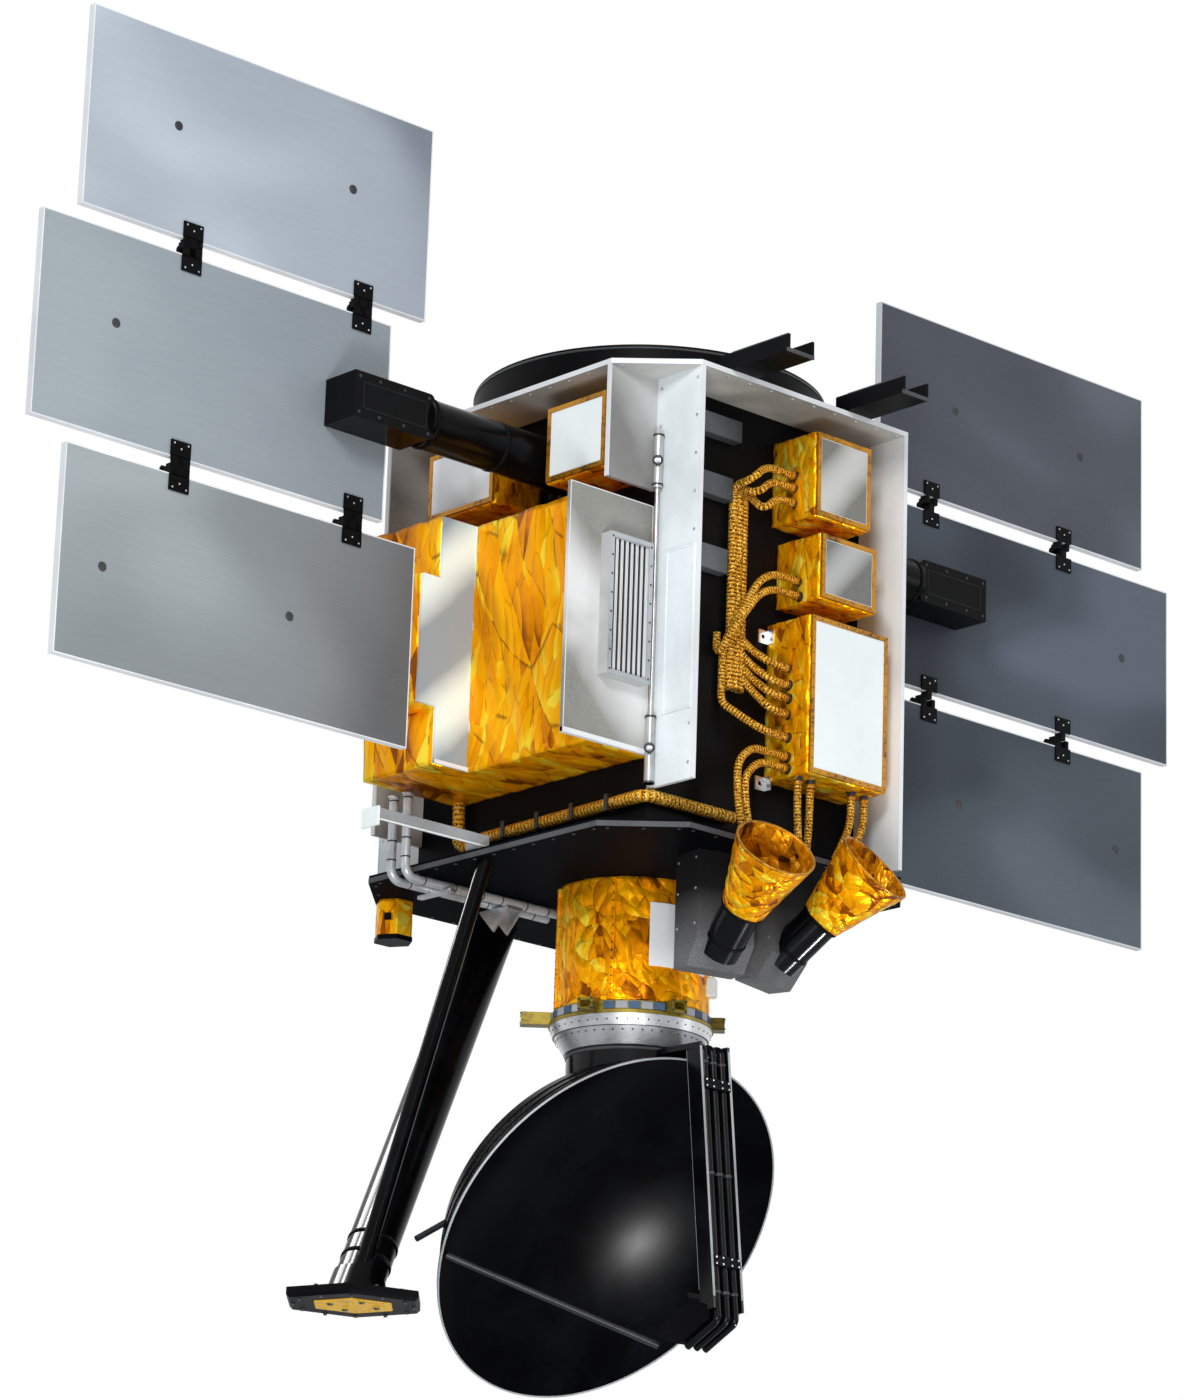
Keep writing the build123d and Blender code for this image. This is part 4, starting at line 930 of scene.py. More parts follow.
class Maker:
    """Collects simple closed forms into one mesh."""

    def __init__(self) -> None:
        """Starts with an empty mesh."""
        self.shape = bmesh.new()

    def _face(self, corners: list) -> None:
        """Adds a face unless its corners coincide."""
        if len(set(corners)) > 2:
            try:
                self.shape.faces.new(corners)
            except ValueError:
                pass

    def _join(self, rings: list[list], closed: bool = False) -> None:
        """Adds the faces between each ring of points and the next, and back to the first where closed."""
        for one, two in zip(rings, rings[1:] + rings[:1] if closed else rings[1:]):
            for index in range(len(one)):
                after = (index + 1) % len(one)
                self._face([one[index], one[after], two[after], two[index]])

    def prism(self, outline: list[Vector], along: Vector) -> None:
        """Closed outline pushed along a vector."""
        low = [self.shape.verts.new(point) for point in outline]
        high = [self.shape.verts.new(point + along) for point in outline]
        self._face(low[::-1])
        self._face(high)
        self._join([low, high])

    def slab(self, low: Point, high: Point) -> None:
        """Box between two corners."""
        bottom, top = sorted((low[2], high[2]))
        self.prism(rectangle("Z", bottom, (low[0], high[0]), (low[1], high[1])), UP * (top - bottom))

    def hoop(self, outer: list[Vector], inner: list[Vector], along: Vector) -> None:
        """Closed frame between two outlines, pushed along a vector."""
        outlines = (outer, inner, [point + along for point in inner], [point + along for point in outer])
        self._join([[self.shape.verts.new(point) for point in outline] for outline in outlines], closed=True)

    def border(self, axis: str, at: float, first: Span, second: Span, insets: Span, along: Vector) -> None:
        """Frame between two insets of one rectangle, pushed along a vector."""
        outer, inner = (rectangle(axis, at, first, second, inset) for inset in insets)
        self.hoop(outer, inner, along)

    def band(self, inner: float, radius: float, half: float, crown: float, origin: Vector, axis: Vector,
             sides: int) -> None:
        """Ring whose outside is crowned at the middle of its height."""
        self.spun([(inner, -half), (radius, -half), (radius + crown, 0.0), (radius, half), (inner, half)],
                  origin,
                  axis, sides)

    def spun(self, profile: list[Span], origin: Vector, axis: Vector, sides: int = 64,
             span: Span = (0.0, 360.0), start: Vector | None = None) -> None:
        """Closed profile of radius and height pairs, spun about an axis.

        Args:
            profile: the profile's corners, in order round it.
            origin: where height 0 lies on the axis.
            axis: direction of the heights.
            sides: number of sides of the whole turn.
            span: angles in degrees between which it is spun.
            start: direction of angle 0.
        """
        up = axis.normalized()
        aside = (start or up.orthogonal()).normalized()
        across = up.cross(aside)
        whole = span[1] - span[0] >= 359.9
        steps = sides if whole else max(2, round(sides * (span[1] - span[0]) / 360))
        rings = []
        for index in range(steps if whole else steps + 1):
            angle = math.radians(span[0] + (span[1] - span[0]) * index / steps)
            outward = aside * math.cos(angle) + across * math.sin(angle)
            rings.append([self.shape.verts.new(origin + outward * r + up * h) for r, h in profile])
        self._join(rings, closed=whole)
        if not whole:
            self._face(rings[0])
            self._face(rings[-1][::-1])

    def pipe(self, points: list[Vector], radius: float, sides: int = 10, closed: bool = False) -> None:
        """Round rod along points."""
        count = len(points)
        rings = []
        for index, point in enumerate(points):
            before = points[index - 1] if index or closed else point
            after = points[(index + 1) % count] if index + 1 < count or closed else point
            line = (after - before).normalized()
            helper = UP if abs(line.z) < 0.9 else AHEAD
            aside = line.cross(helper).normalized()
            across = line.cross(aside)
            ways = [aside * math.cos(math.tau * k / sides) + across * math.sin(math.tau * k / sides)
                    for k in range(sides)]
            rings.append([self.shape.verts.new(point + way * radius) for way in ways])
        self._join(rings, closed)
        if not closed:
            self._face(rings[0][::-1])
            self._face(rings[-1])

    def mesh(self, name: str, round_edges: float = 0.0, smooth: bool = False) -> bpy.types.Mesh:
        """Ends the collection.

        Args:
            name: the mesh's name.
            round_edges: width of the bevel on sharp edges in metres.
            smooth: whether faces are shaded smooth.

        Returns:
            The mesh, with merged points and outward faces.
        """
        bmesh.ops.remove_doubles(self.shape, verts=self.shape.verts, dist=1e-6)
        bmesh.ops.recalc_face_normals(self.shape, faces=self.shape.faces)
        if round_edges > 0:
            sharp = [e for e in self.shape.edges if len(e.link_faces) == 2 and e.calc_face_angle() > 0.5]
            bmesh.ops.bevel(self.shape, geom=sharp, offset=round_edges, segments=2, affect="EDGES",
                            clamp_overlap=True)
        mesh = bpy.data.meshes.new(name)
        self.shape.to_mesh(mesh)
        self.shape.free()
        if smooth:
            mesh.shade_smooth()
        return mesh

    def piece(self, name: str, body: str, finish: Finish, round_edges: float = 0.0,
              smooth: bool = False) -> bpy.types.Object:
        """Ends the collection and puts it into the scene as a piece."""
        return place_piece(name, self.mesh(name, round_edges, smooth), body, finish)


@dataclass
class Fixings:
    """Points for one kind of fixing on one body.

    Attributes:
        shape: the fixing.
        size: its two radii and its height.
        finish: its finish.
        points: where it stands.
        facings: which way it faces at each point.
    """

    shape: FixingShape
    size: Point
    finish: Finish
    up: Point = (0.0, 0.0, 1.0)
    points: list[Vector] = field(default_factory=list)
    facings: list[Vector] = field(default_factory=list)

    def put(self, point: Vector, facing: Vector) -> None:
        """Adds one fixing."""
        self.points.append(Vector(point))
        self.facings.append(Vector(facing).normalized())

    def row(self, start: Vector, end: Vector, count: int, facing: Vector) -> None:
        """Adds a row of fixings from start to end."""
        for index in range(count):
            self.put(Vector(start).lerp(Vector(end), index / max(1, count - 1)), facing)

    def circle(self, centre: Vector, axis: Vector, radius: float, count: int, outward: bool = False,
               first: float = 0.0) -> None:
        """Adds a circle of fixings that face along the axis, or outwards from it."""
        up = Vector(axis).normalized()
        aside = up.orthogonal().normalized() if abs(up.z) < 0.99 else AHEAD
        across = up.cross(aside)
        for index in range(count):
            angle = math.tau * index / count + math.radians(first)
            out = aside * math.cos(angle) + across * math.sin(angle)
            self.put(Vector(centre) + out * radius, out if outward else up)

    def piece(self, name: str, body: str) -> bpy.types.Object:
        """Grows the fixings into one piece."""
        seed = bpy.data.meshes.new(name + "_points")
        seed.from_pydata([tuple(point) for point in self.points], [], [])
        facing = seed.attributes.new("facing", "FLOAT_VECTOR", "POINT")
        facing.data.foreach_set("vector", [value for way in self.facings for value in way])
        mesh = fixing_tree(self.shape).grow(name, seed, self.finish, Size=self.size, Up=self.up)
        return place_piece(name, mesh, body, self.finish)


@dataclass
class FoilSkin:
    """Foil round a CAD node, cut finely and crumpled.

    Attributes:
        node: the node that it stands for.
        finish: its foil.
        cut: distance between the cuts in metres.
        large: height of the large facets.
        small: height of the small facets.
        lining: foil of the faces that look at the centre line, or None.
        sight: origin and direction of each hollow's centre line, for a lined node.
    """

    node: str
    finish: Foil
    cut: float = 0.012
    large: float = 0.010
    small: float = 0.0045
    lining: Foil | None = None
    sight: list[tuple[Vector, Vector]] = field(default_factory=list)

    def _cut(self) -> bpy.types.Mesh:
        """Copy of the node's mesh, merged and cut by planes along the three axes."""
        step = self.cut * 1.0
        shape = bmesh.new()
        shape.from_mesh(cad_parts[self.node].data)
        bmesh.ops.remove_doubles(shape, verts=shape.verts, dist=1e-5)
        bmesh.ops.dissolve_limit(shape, angle_limit=0.01, verts=shape.verts, edges=shape.edges)
        low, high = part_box(self.node)
        for axis in range(3):
            count = max(1, round((high[axis] - low[axis]) / step))
            normal = Vector([1.0 if index == axis else 0.0 for index in range(3)])
            for index in range(1, count):
                place = low.copy()
                place[axis] = low[axis] + (high[axis] - low[axis]) * index / count
                geometry = shape.verts[:] + shape.edges[:] + shape.faces[:]
                bmesh.ops.bisect_plane(shape, geom=geometry, plane_co=place, plane_no=normal, dist=1e-6)
        bmesh.ops.triangulate(shape, faces=[face for face in shape.faces if len(face.verts) > 4])
        mesh = bpy.data.meshes.new(self.node + "_cut")
        shape.to_mesh(mesh)
        shape.free()
        mesh.materials.clear()
        return mesh

    def _line(self, mesh: bpy.types.Mesh) -> None:
        """Gives the faces that look at their hollow's centre line the lining."""
        mesh.materials.append(self.lining.material())
        for face in mesh.polygons:
            def off_line(sight: tuple[Vector, Vector]) -> Vector:
                """Way from the nearest point of a centre line to the face."""
                origin, way = sight
                along = (face.center - origin).dot(way)
                return face.center - (origin + way * along)
            nearest = min((off_line(sight) for sight in self.sight), key=lambda way: way.length)
            if face.normal.dot(nearest) < 0:
                face.material_index = 1

    def piece(self, name: str, body: str) -> bpy.types.Object:
        """Crumples the skin and puts it in the node's place."""
        mesh = crumple_tree(self.finish.folds).grow(name, self._cut(), self.finish, Large_Height=self.large,
                                                    Small_Height=self.small)
        if self.lining:
            self._line(mesh)
        skin = place_piece(name, mesh, body, self.finish)
        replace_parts(skin, self.node)
        return skin


def octagon(grow: float = 0.0) -> list[Span]:
    """Corners of the decks' outline, moved outwards by grow."""
    slant = grow * math.tan(math.radians(22.5))
    x, y = HALF_X + grow, HALF_Y + grow
    inner_x, inner_y = CORE_X + slant, CORE_Y + slant
    return [(x, -inner_y), (x, inner_y), (inner_x, y), (-inner_x, y), (-x, inner_y), (-x, -inner_y),
            (-inner_x, -y), (inner_x, -y)]


def rectangle(axis: str, at: float, first: Span, second: Span,
              inset: float = 0.0) -> list[Vector]:
    """Corners of a rectangle across one axis.

    Args:
        axis: the axis that it stands across, X, Y or Z.
        at: its place on that axis.
        first: its reach along the next axis in the order X, Y, Z.
        second: its reach along the other axis.
        inset: how far its sides are moved inwards.

    Returns:
        The four corners in order.
    """
    (a, b), (c, d) = sorted(first), sorted(second)
    corners = [(a + inset, c + inset), (b - inset, c + inset), (b - inset, d - inset), (a + inset, d - inset)]
    turn = {"X": lambda u, v: (at, u, v), "Y": lambda u, v: (u, at, v), "Z": lambda u, v: (u, v, at)}[axis]
    return [Vector(turn(u, v)) for u, v in corners]


@dataclass
class BusStructure:
    """Decks, walls, core, adapter ring and brackets of the bus.

    Attributes:
        rim: thickness of the bright rims.
        rim_height: height of the bright rims.
        deck_pitch: distance between two deck screws.
    """

    rim: float = 0.0012
    rim_height: float = 0.014
    deck_pitch: float = 0.072

    def build(self) -> None:
        """Dresses the structure and adds its rims, screws, beads and panels."""
        dress(DECK_GREY, "upper_deck")
        dress(DECK_BLACK, "lower_deck")
        dress(BLACK_PAINT, "deck_brackets", "adapter_ring")
        dress(CORE_BLACK, "core")
        dress(WALL_WHITE, "bay_walls_y")
        dress(WALL_GREY, "bay_walls_x")
        dress(PLATE_GREY, "wall_plates")
        dress(SILVER, "box_lugs")
        self._rims()
        self._screws()
        self._panels()
        self._ring()

    def _rims(self) -> None:
        """Rims round both decks and bright edges on the bay walls."""
        for name, low, finish in (("upper_deck_rim", BAY_TOP_Z, BRIGHT_EDGE),
                                  ("lower_deck_rim", DECK_Z, DARK_EDGE)):
            rim = Maker()
            outer, inner = ([Vector((x, y, low)) for x, y in octagon(grow)] for grow in (self.rim, -0.002))
            rim.hoop(outer, inner, UP * self.rim_height)
            rim.piece(name, "bus", finish, 0.0006)
        edges = Maker()
        proud, side, thick, deep = 0.0012, 0.0008, 0.0128, 0.003
        for sx, sy, foot in ((-1, -1, 0.128), (1, -1, 0.038), (-1, 1, 0.038), (1, 1, 0.038)):
            x, y = sx * CORE_X, sy * HALF_Y
            edges.slab((x + sx * side, y + sy * proud, DECK_Z + foot),
                       (x - sx * thick, y - sy * deep, BAY_TOP_Z))
        for sx, sy, foot in ((-1, -1, 0.912), (-1, 1, 0.128), (1, -1, 0.128), (1, 1, 0.128)):
            x, y = sx * HALF_X, sy * CORE_Y
            edges.slab((x + sx * proud, y + sy * side, DECK_Z + foot),
                       (x - sx * deep, y - sy * thick, BAY_TOP_Z))
        edges.piece("bay_wall_edges", "bus", BRIGHT_EDGE, 0.0005)

    def _screws(self) -> None:
        """Screws along the decks' rims and down the bay walls."""
        screws = Fixings(FixingShape.SCREW, (0.0042, 0.0042, 0.0022), SILVER)
        dark = Fixings(FixingShape.SCREW, (0.0045, 0.0045, 0.0024), STEEL_DARK)
        for target, height, facing in ((screws, BAY_TOP_Z, DOWN), (dark, DECK_Z, DOWN),
                                       (dark, DECK_Z + LOWER_DECK_T, UP),
                                       (screws, BAY_TOP_Z + UPPER_DECK_T, UP)):
            ring = octagon(-0.016)
            for (x0, y0), (x1, y1) in zip(ring, ring[1:] + ring[:1]):
                length = math.hypot(x1 - x0, y1 - y0)
                start, end = Vector((x0, y0, height)), Vector((x1, y1, height))
                margin = 0.02 / length
                target.row(start.lerp(end, margin), end.lerp(start, margin),
                           max(3, round(length / self.deck_pitch)),
                           facing)
        for sx in (-1, 1):
            x = sx * (CORE_X + 0.0001)
            for sy in (-1, 1):
                for y in (sy * (HALF_Y - 0.014), sy * (CORE_Y + 0.016)):
                    screws.row(Vector((x, y, DECK_Z + 0.17)), Vector((x, y, BAY_TOP_Z - 0.03)), 11,
                               AHEAD * sx)
        screws.piece("deck_screws", "bus")
        dark.piece("deck_screws_dark", "bus")

    def _panels(self) -> None:
        """Raised cover on the left wall and the beads under the booms."""
        cover = Maker()
        across, heights, frame_width = (-0.590, -0.486), (DECK_Z + 0.310, DECK_Z + 0.740), 0.006
        cover.border("X", -CORE_X, across, heights, (0.0, frame_width), BEHIND * 0.0035)
        cover.prism(rectangle("X", -CORE_X, across, heights, frame_width), BEHIND * 0.0015)
        cover.piece("wall_cover", "bus", WALL_WHITE, 0.0008)
        bead = Maker()
        low_y, high_y, low_z, high_z, corner = -0.093, 0.074, DECK_Z + 0.964, DECK_Z + 1.044, 0.022
        for side in Side:
            points = []
            for cy, cz, first in ((high_y - corner, high_z - corner, 0),
                                  (low_y + corner, high_z - corner, 90),
                                  (low_y + corner, low_z + corner, 180),
                                  (high_y - corner, low_z + corner, 270)):
                for index in range(7):
                    angle = math.radians(first + 15 * index)
                    points.append(Vector((side.sign * CORE_X, cy + corner * math.cos(angle),
                                          cz + corner * math.sin(angle))))
            bead.pipe(points, 0.0028, 8, closed=True)
        bead.piece("core_side_beads", "bus", DARK_EDGE, smooth=True)

    def _ring(self) -> None:
        """Lips, a seam and bolts of the adapter ring, and the caps of the deck brackets."""
        lips = Maker()
        for radius, height in ((0.4685, -0.0095), (0.474, -0.1105)):
            lips.band(radius - 0.002, radius + 0.0016, 0.003, 0.0006, UP * height, UP, 128)
        lips.piece("adapter_lips", "bus", DARK_EDGE, smooth=True)
        bolts = Fixings(FixingShape.BOLT, (0.0075, 0.0075, 0.007), STEEL_DARK)
        bolts.circle(UP * -0.110, UP, 0.487, 36)
        bolts.piece("adapter_bolts", "bus")
        edges = Maker()
        low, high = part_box("deck_brackets")
        for x in (-0.225, 0.190):
            for dx in (-0.046, 0.046):
                edges.slab((x + dx * 0.86, low.y + 0.001, high.z - 0.0022),
                           (x + dx * 1.02, -0.60, high.z + 0.0012))
            edges.slab((x - 0.047, low.y - 0.001, low.z - 0.001), (x + 0.047, low.y + 0.004, low.z + 0.009))
        edges.piece("bracket_edges", "bus", DARK_EDGE, 0.0006)


@dataclass(frozen=True)
class Plate:
    """Front plate of a foil box.

    Attributes:
        axis: the axis that it faces along, X or Y.
        at: its place on that axis.
        along: its reach along the other level axis.
        drop: how far its top lies below the bays' top.
        tall: its height.
        mirror: its polished finish, or None where it is painted white.
    """

    axis: str
    at: float
    along: Span
    drop: float
    tall: float
    mirror: Finish | None = None

    @property
    def out(self) -> Vector:
        """Direction that the plate faces."""
        way = Vector((1, 0, 0) if self.axis == "X" else (0, 1, 0))
        return way if self.at > 0 else -way

    def outline(self, forward: float, inset: float) -> list[Vector]:
        """The plate's corners, moved forward and inwards."""
        heights = (BAY_TOP_Z - self.drop - self.tall, BAY_TOP_Z - self.drop)
        place = self.at + (forward if self.at > 0 else -forward)
        return rectangle(self.axis, place, self.along, heights, inset)


PLATES = {
    "front_a": Plate("Y", -HALF_Y, (0.043, 0.238), 0.069, 0.225, MIRROR_UPPER),
    "front_b": Plate("Y", -HALF_Y, (0.065, 0.262), 0.339, 0.173, MIRROR_MIDDLE),
    "side_far": Plate("X", -HALF_X, (0.005, 0.262), 0.087, 0.180, MIRROR_SIDE),
    "front_c": Plate("Y", -HALF_Y, (0.035, 0.310), 0.565, 0.417),
    "side_near": Plate("X", -HALF_X, (-0.420, -0.200), 0.067, 0.200),
    "right_a": Plate("X", HALF_X, (-0.420, -0.200), 0.067, 0.200),
    "right_b": Plate("X", HALF_X, (0.005, 0.262), 0.087, 0.180),
    "right_c": Plate("X", HALF_X, (-0.400, -0.030), 0.592, 0.440),
    "right_d": Plate("X", HALF_X, (0.040, 0.400), 0.522, 0.390),
    "rear_a": Plate("Y", HALF_Y, (-0.290, -0.020), 0.172, 0.660),
    "rear_b": Plate("Y", HALF_Y, (0.070, 0.310), 0.312, 0.260),
    "rear_c": Plate("Y", HALF_Y, (0.040, 0.300), 0.822, 0.240),
}


@dataclass
class EquipmentBoxes:
    """Foil boxes in the four bays, with their front plates.

    Attributes:
        frame_width: width of the gold frame round a plate.
        proud: how far a cover stands over its plate.
        tall: height from which a plate's frame is riveted.
    """

    frame_width: float = 0.011
    proud: float = 0.001
    tall: float = 0.38

    def build(self) -> None:
        """Wraps the boxes and covers their plates."""
        FoilSkin("front_boxes", SMALL_BLANKET, 0.009, 0.008, 0.0035).piece("front_box_foil", "bus")
        FoilSkin("side_boxes", SMALL_BLANKET, 0.010, 0.008, 0.0035).piece("side_box_foil", "bus")
        FoilSkin("rear_boxes", BLANKET, 0.016, 0.012, 0.005).piece("rear_box_foil", "bus")
        dress(RADIATOR, "radiator_plates")
        frames, covers, mirrors = Maker(), Maker(), {}
        rivets = Fixings(FixingShape.RIVET, (0.0024, 0.0024, 0.0016), STEEL_DARK)
        for name, plate in PLATES.items():
            frames.hoop(plate.outline(-0.007, 0.0005), plate.outline(-0.007, self.frame_width + 0.003),
                        plate.out * 0.0088)
            if plate.tall > self.tall:
                self._rivet(rivets, plate)
            cover = covers
            if plate.mirror:
                cover = mirrors[name] = Maker()
            cover.prism(plate.outline(-0.001, self.frame_width + 0.005), plate.out * (0.001 + self.proud))
        frames.piece("plate_frames", "bus", GOLD_FRAME, 0.0008)
        covers.piece("plate_covers", "bus", RADIATOR, 0.0005)
        for name, mirror in mirrors.items():
            mirror.piece("plate_mirror_" + name, "bus", PLATES[name].mirror, 0.0005)
        rivets.piece("plate_rivets", "bus")

    def _rivet(self, rivets: Fixings, plate: Plate) -> None:
        """Rivets round the frame of one plate."""
        corners = plate.outline(0.0016, 0.007)
        for start, end in zip(corners, corners[1:] + corners[:1]):
            count = max(3, round((end - start).length / 0.03))
            rivets.row(start, start.lerp(end, 1 - 1 / count), count, plate.out)


def louvre_finish() -> LouvreShade:
    """The louvre's finish, fitted to the inside of its frame."""
    low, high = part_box("louvre")
    rim = 0.0126
    return LouvreShade("louvre_shade", "silver", low=(low.x + rim, low.y + 0.0075, low.z + rim),
                       high=(high.x - rim, high.y + 0.01, high.z - rim))


@dataclass
class SteppedBox:
    """Instrument box on the left side with its panels, fin and louvre.

    Attributes:
        slats: how many slats the louvre has.
    """

    slats: int = 7

    def build(self) -> None:
        """Wraps the box, dresses its panels and adds their trim."""
        FoilSkin("stepped_box", BLANKET, 0.011, 0.012, 0.005).piece("stepped_box_foil", "bus")
        dress(MIRROR_STEP, "step_panel")
        dress(FIN_GREY, "louvre_fin")
        dress(louvre_finish(), "louvre")
        trim = Maker()
        low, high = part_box("louvre_fin")
        trim.slab((low.x, low.y - 0.003, low.z - 0.0015), (high.x, high.y + 0.001, low.z + 0.0125))
        trim.border("Y", low.y, (low.x, high.x), (low.z, high.z), (0.0, 0.003), FRONT * 0.0012)
        low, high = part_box("step_panel")
        trim.slab((-0.578, low.y - 0.002, low.z - 0.001), (-0.690, low.y + 0.003, low.z + 0.010))
        trim.slab((-0.576, low.y - 0.002, low.z), (-0.5795, low.y + 0.003, high.z))
        trim.piece("step_panel_trim", "bus", BRIGHT_EDGE, 0.0006)
        self._louvre()

    def _louvre(self) -> None:
        """Black back as painted shade behind the slats, bright slat faces and screws of the louvre."""
        low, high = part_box("louvre")
        xs, zs, back_y = (low.x, high.x), (low.z, high.z), high.y - 0.006
        # black sheet behind the slats: painted shade
        back = Maker()
        back.prism(rectangle("Y", back_y, xs, zs, 0.013), FRONT * 0.001)
        back.border("Y", back_y, xs, zs, (0.0128, 0.0136), FRONT * 0.016)
        back.piece("louvre_back", "bus", BLACK_PAINT, 0.0003)
        slats = Fixings(FixingShape.BLOCK, ((high.z - low.z - 0.028) / 2, 0.0030, 0.0016), BRIGHT_EDGE)
        pitch = (high.x - low.x - 0.026) / self.slats
        for index in range(self.slats):
            x = low.x + 0.013 + pitch * (index + 0.5) + 0.0058
            slats.put(Vector((x, low.y + 0.0060, (low.z + high.z) / 2)), FRONT)
        slats.piece("louvre_slat_edges", "bus")
        rim = Maker()
        rim.border("Y", low.y, xs, zs, (-0.0006, 0.0125), FRONT * 0.0012)
        rim.piece("louvre_rim", "bus", BEAM_GREY, 0.0008)
        screws = Fixings(FixingShape.SCREW, (0.0028, 0.0028, 0.0016), STEEL_DARK)
        for x in (low.x + 0.0065, high.x - 0.0065):
            start, end = (Vector((x, low.y - 0.0012, z)) for z in (low.z + 0.012, high.z - 0.012))
            screws.row(start, end, 8, FRONT)
        screws.piece("louvre_screws", "bus")


@dataclass
class Harness:
    """Tape-wound cables between the boxes, the trunk and the lower deck.

    Attributes:
        radius: a cable's radius.
        pitch: distance between two cables side by side.
        trunk: the trunk's place in X, its half width and its half depth.
        drops: where the trunk starts and ends, below the bay's top.
    """

    radius: float = 0.010
    pitch: float = 0.0206
    trunk: Point = (-0.092, 0.031, 0.014)
    drops: Span = (0.264, 0.768)
    lead: float = 0.046
    tail: float = 0.040
    front_y: float = -0.520
    bottom_y: float = -0.540
    arc_share: float = 0.45
    upper: tuple[Point, ...] = ((0.043, 0.175, -1), (0.043, 0.209, 0), (0.043, 0.250, 1))
    crossing: tuple[Point, ...] = ((0.065, 0.456, 0), (0.065, 0.496, 1))
    fan: tuple[Span, ...] = ((0.696, 0.650), (0.740, 0.690), (0.776, 0.722), (0.818, 0.752))
    outer_drop: float = 0.879
    loops: tuple[Point, ...] = ((0.931, 0.175, -0.108), (0.962, 0.148, -0.084))
    bottoms: tuple[Span, ...] = ((0.052, 0.062), (0.096, 0.086), (0.244, 0.172), (0.290, 0.204))
    box_edge: float = 0.035

    def routes(self) -> list[list[Vector]]:
        """Corner points of every cable, in the order of the boxes from the top."""
        gap = 0.0003
        x_mid, half_w, half_d = self.trunk
        top, foot = BAY_TOP_Z - self.drops[0], BAY_TOP_Z - self.drops[1]
        trunk_y = -CORE_Y - gap - half_d
        wall_y = -CORE_Y - gap - self.radius
        left, right = x_mid - half_w - gap - self.radius, x_mid + half_w + gap + self.radius
        routes = []
        for edge, drop, strand in self.upper:
            x, z = x_mid + strand * self.pitch, BAY_TOP_Z - drop
            routes.append([(edge, self.front_y, z), (x + self.lead, self.front_y, z),
                           (x, self.front_y, z - self.lead),
                           (x, trunk_y, top + self.tail), (x, trunk_y, top - 0.02)])
        for edge, drop, strand in self.crossing:
            x, z = left - strand * self.pitch, BAY_TOP_Z - drop
            low = z - 0.140
            routes.append([(edge, self.front_y, z), (x_mid + half_w, self.front_y, z),
                           (x, -CORE_Y - 0.062, low),
                           (x, wall_y, low - 0.062), (x, wall_y, foot + strand * 0.140)])
        for drop, leave in self.fan:
            z, start = BAY_TOP_Z - drop, BAY_TOP_Z - leave
            routes.append([(x_mid, trunk_y, start + self.tail), (right, trunk_y - self.radius, start),
                           (right + self.pitch, self.front_y, z), (self.box_edge, self.front_y, z)])
        z = BAY_TOP_Z - self.outer_drop
        routes.append([(left, wall_y, foot), (left, wall_y, foot - self.tail),
                       (x_mid + half_w, self.front_y, z),
                       (self.box_edge, self.front_y, z)])
        for drop, reach, end_x in self.loops:
            z, x = BAY_TOP_Z - drop, self.box_edge - reach
            routes.append([(self.box_edge, self.front_y, z), (x + self.lead, self.front_y, z),
                           (x, self.front_y, z - self.lead), (x, self.front_y, DECK_Z + 0.150),
                           (end_x, self.front_y, DECK_Z + 0.010)])
        for head_x, foot_x in self.bottoms:
            routes.append([(head_x, self.bottom_y, BAY_TOP_Z - 0.982),
                           (head_x, self.bottom_y, DECK_Z + 0.140),
                           (foot_x, self.bottom_y, DECK_Z + 0.010)])
        return [[Vector(point) for point in route] for route in routes]

    def _bends(self, route: list[Vector]) -> list[float]:
        """Radius at each point of a route, as large as its runs allow."""
        bends = [0.0]
        for before, corner, after in zip(route, route[1:], route[2:]):
            turn = (corner - before).angle(after - corner)
            short_run = min((corner - before).length, (after - corner).length)
            bends.append(self.arc_share * short_run / math.tan(turn / 2))
        return [*bends, 0.0]

    def _seed(self, name: str, routes: list[list[Vector]], bends: list[list[float]]) -> bpy.types.Mesh:
        """Mesh of edges along the routes, with a bend at each point."""
        points, edges, radii = [], [], []
        for route, turns in zip(routes, bends):
            base = len(points)
            points += [tuple(point) for point in route]
            edges += [(base + index, base + index + 1) for index in range(len(route) - 1)]
            radii += turns
        mesh = bpy.data.meshes.new(name + "_route")
        mesh.from_pydata(points, edges, [])
        mesh.attributes.new("bend", "FLOAT", "POINT").data.foreach_set("value", radii)
        return mesh

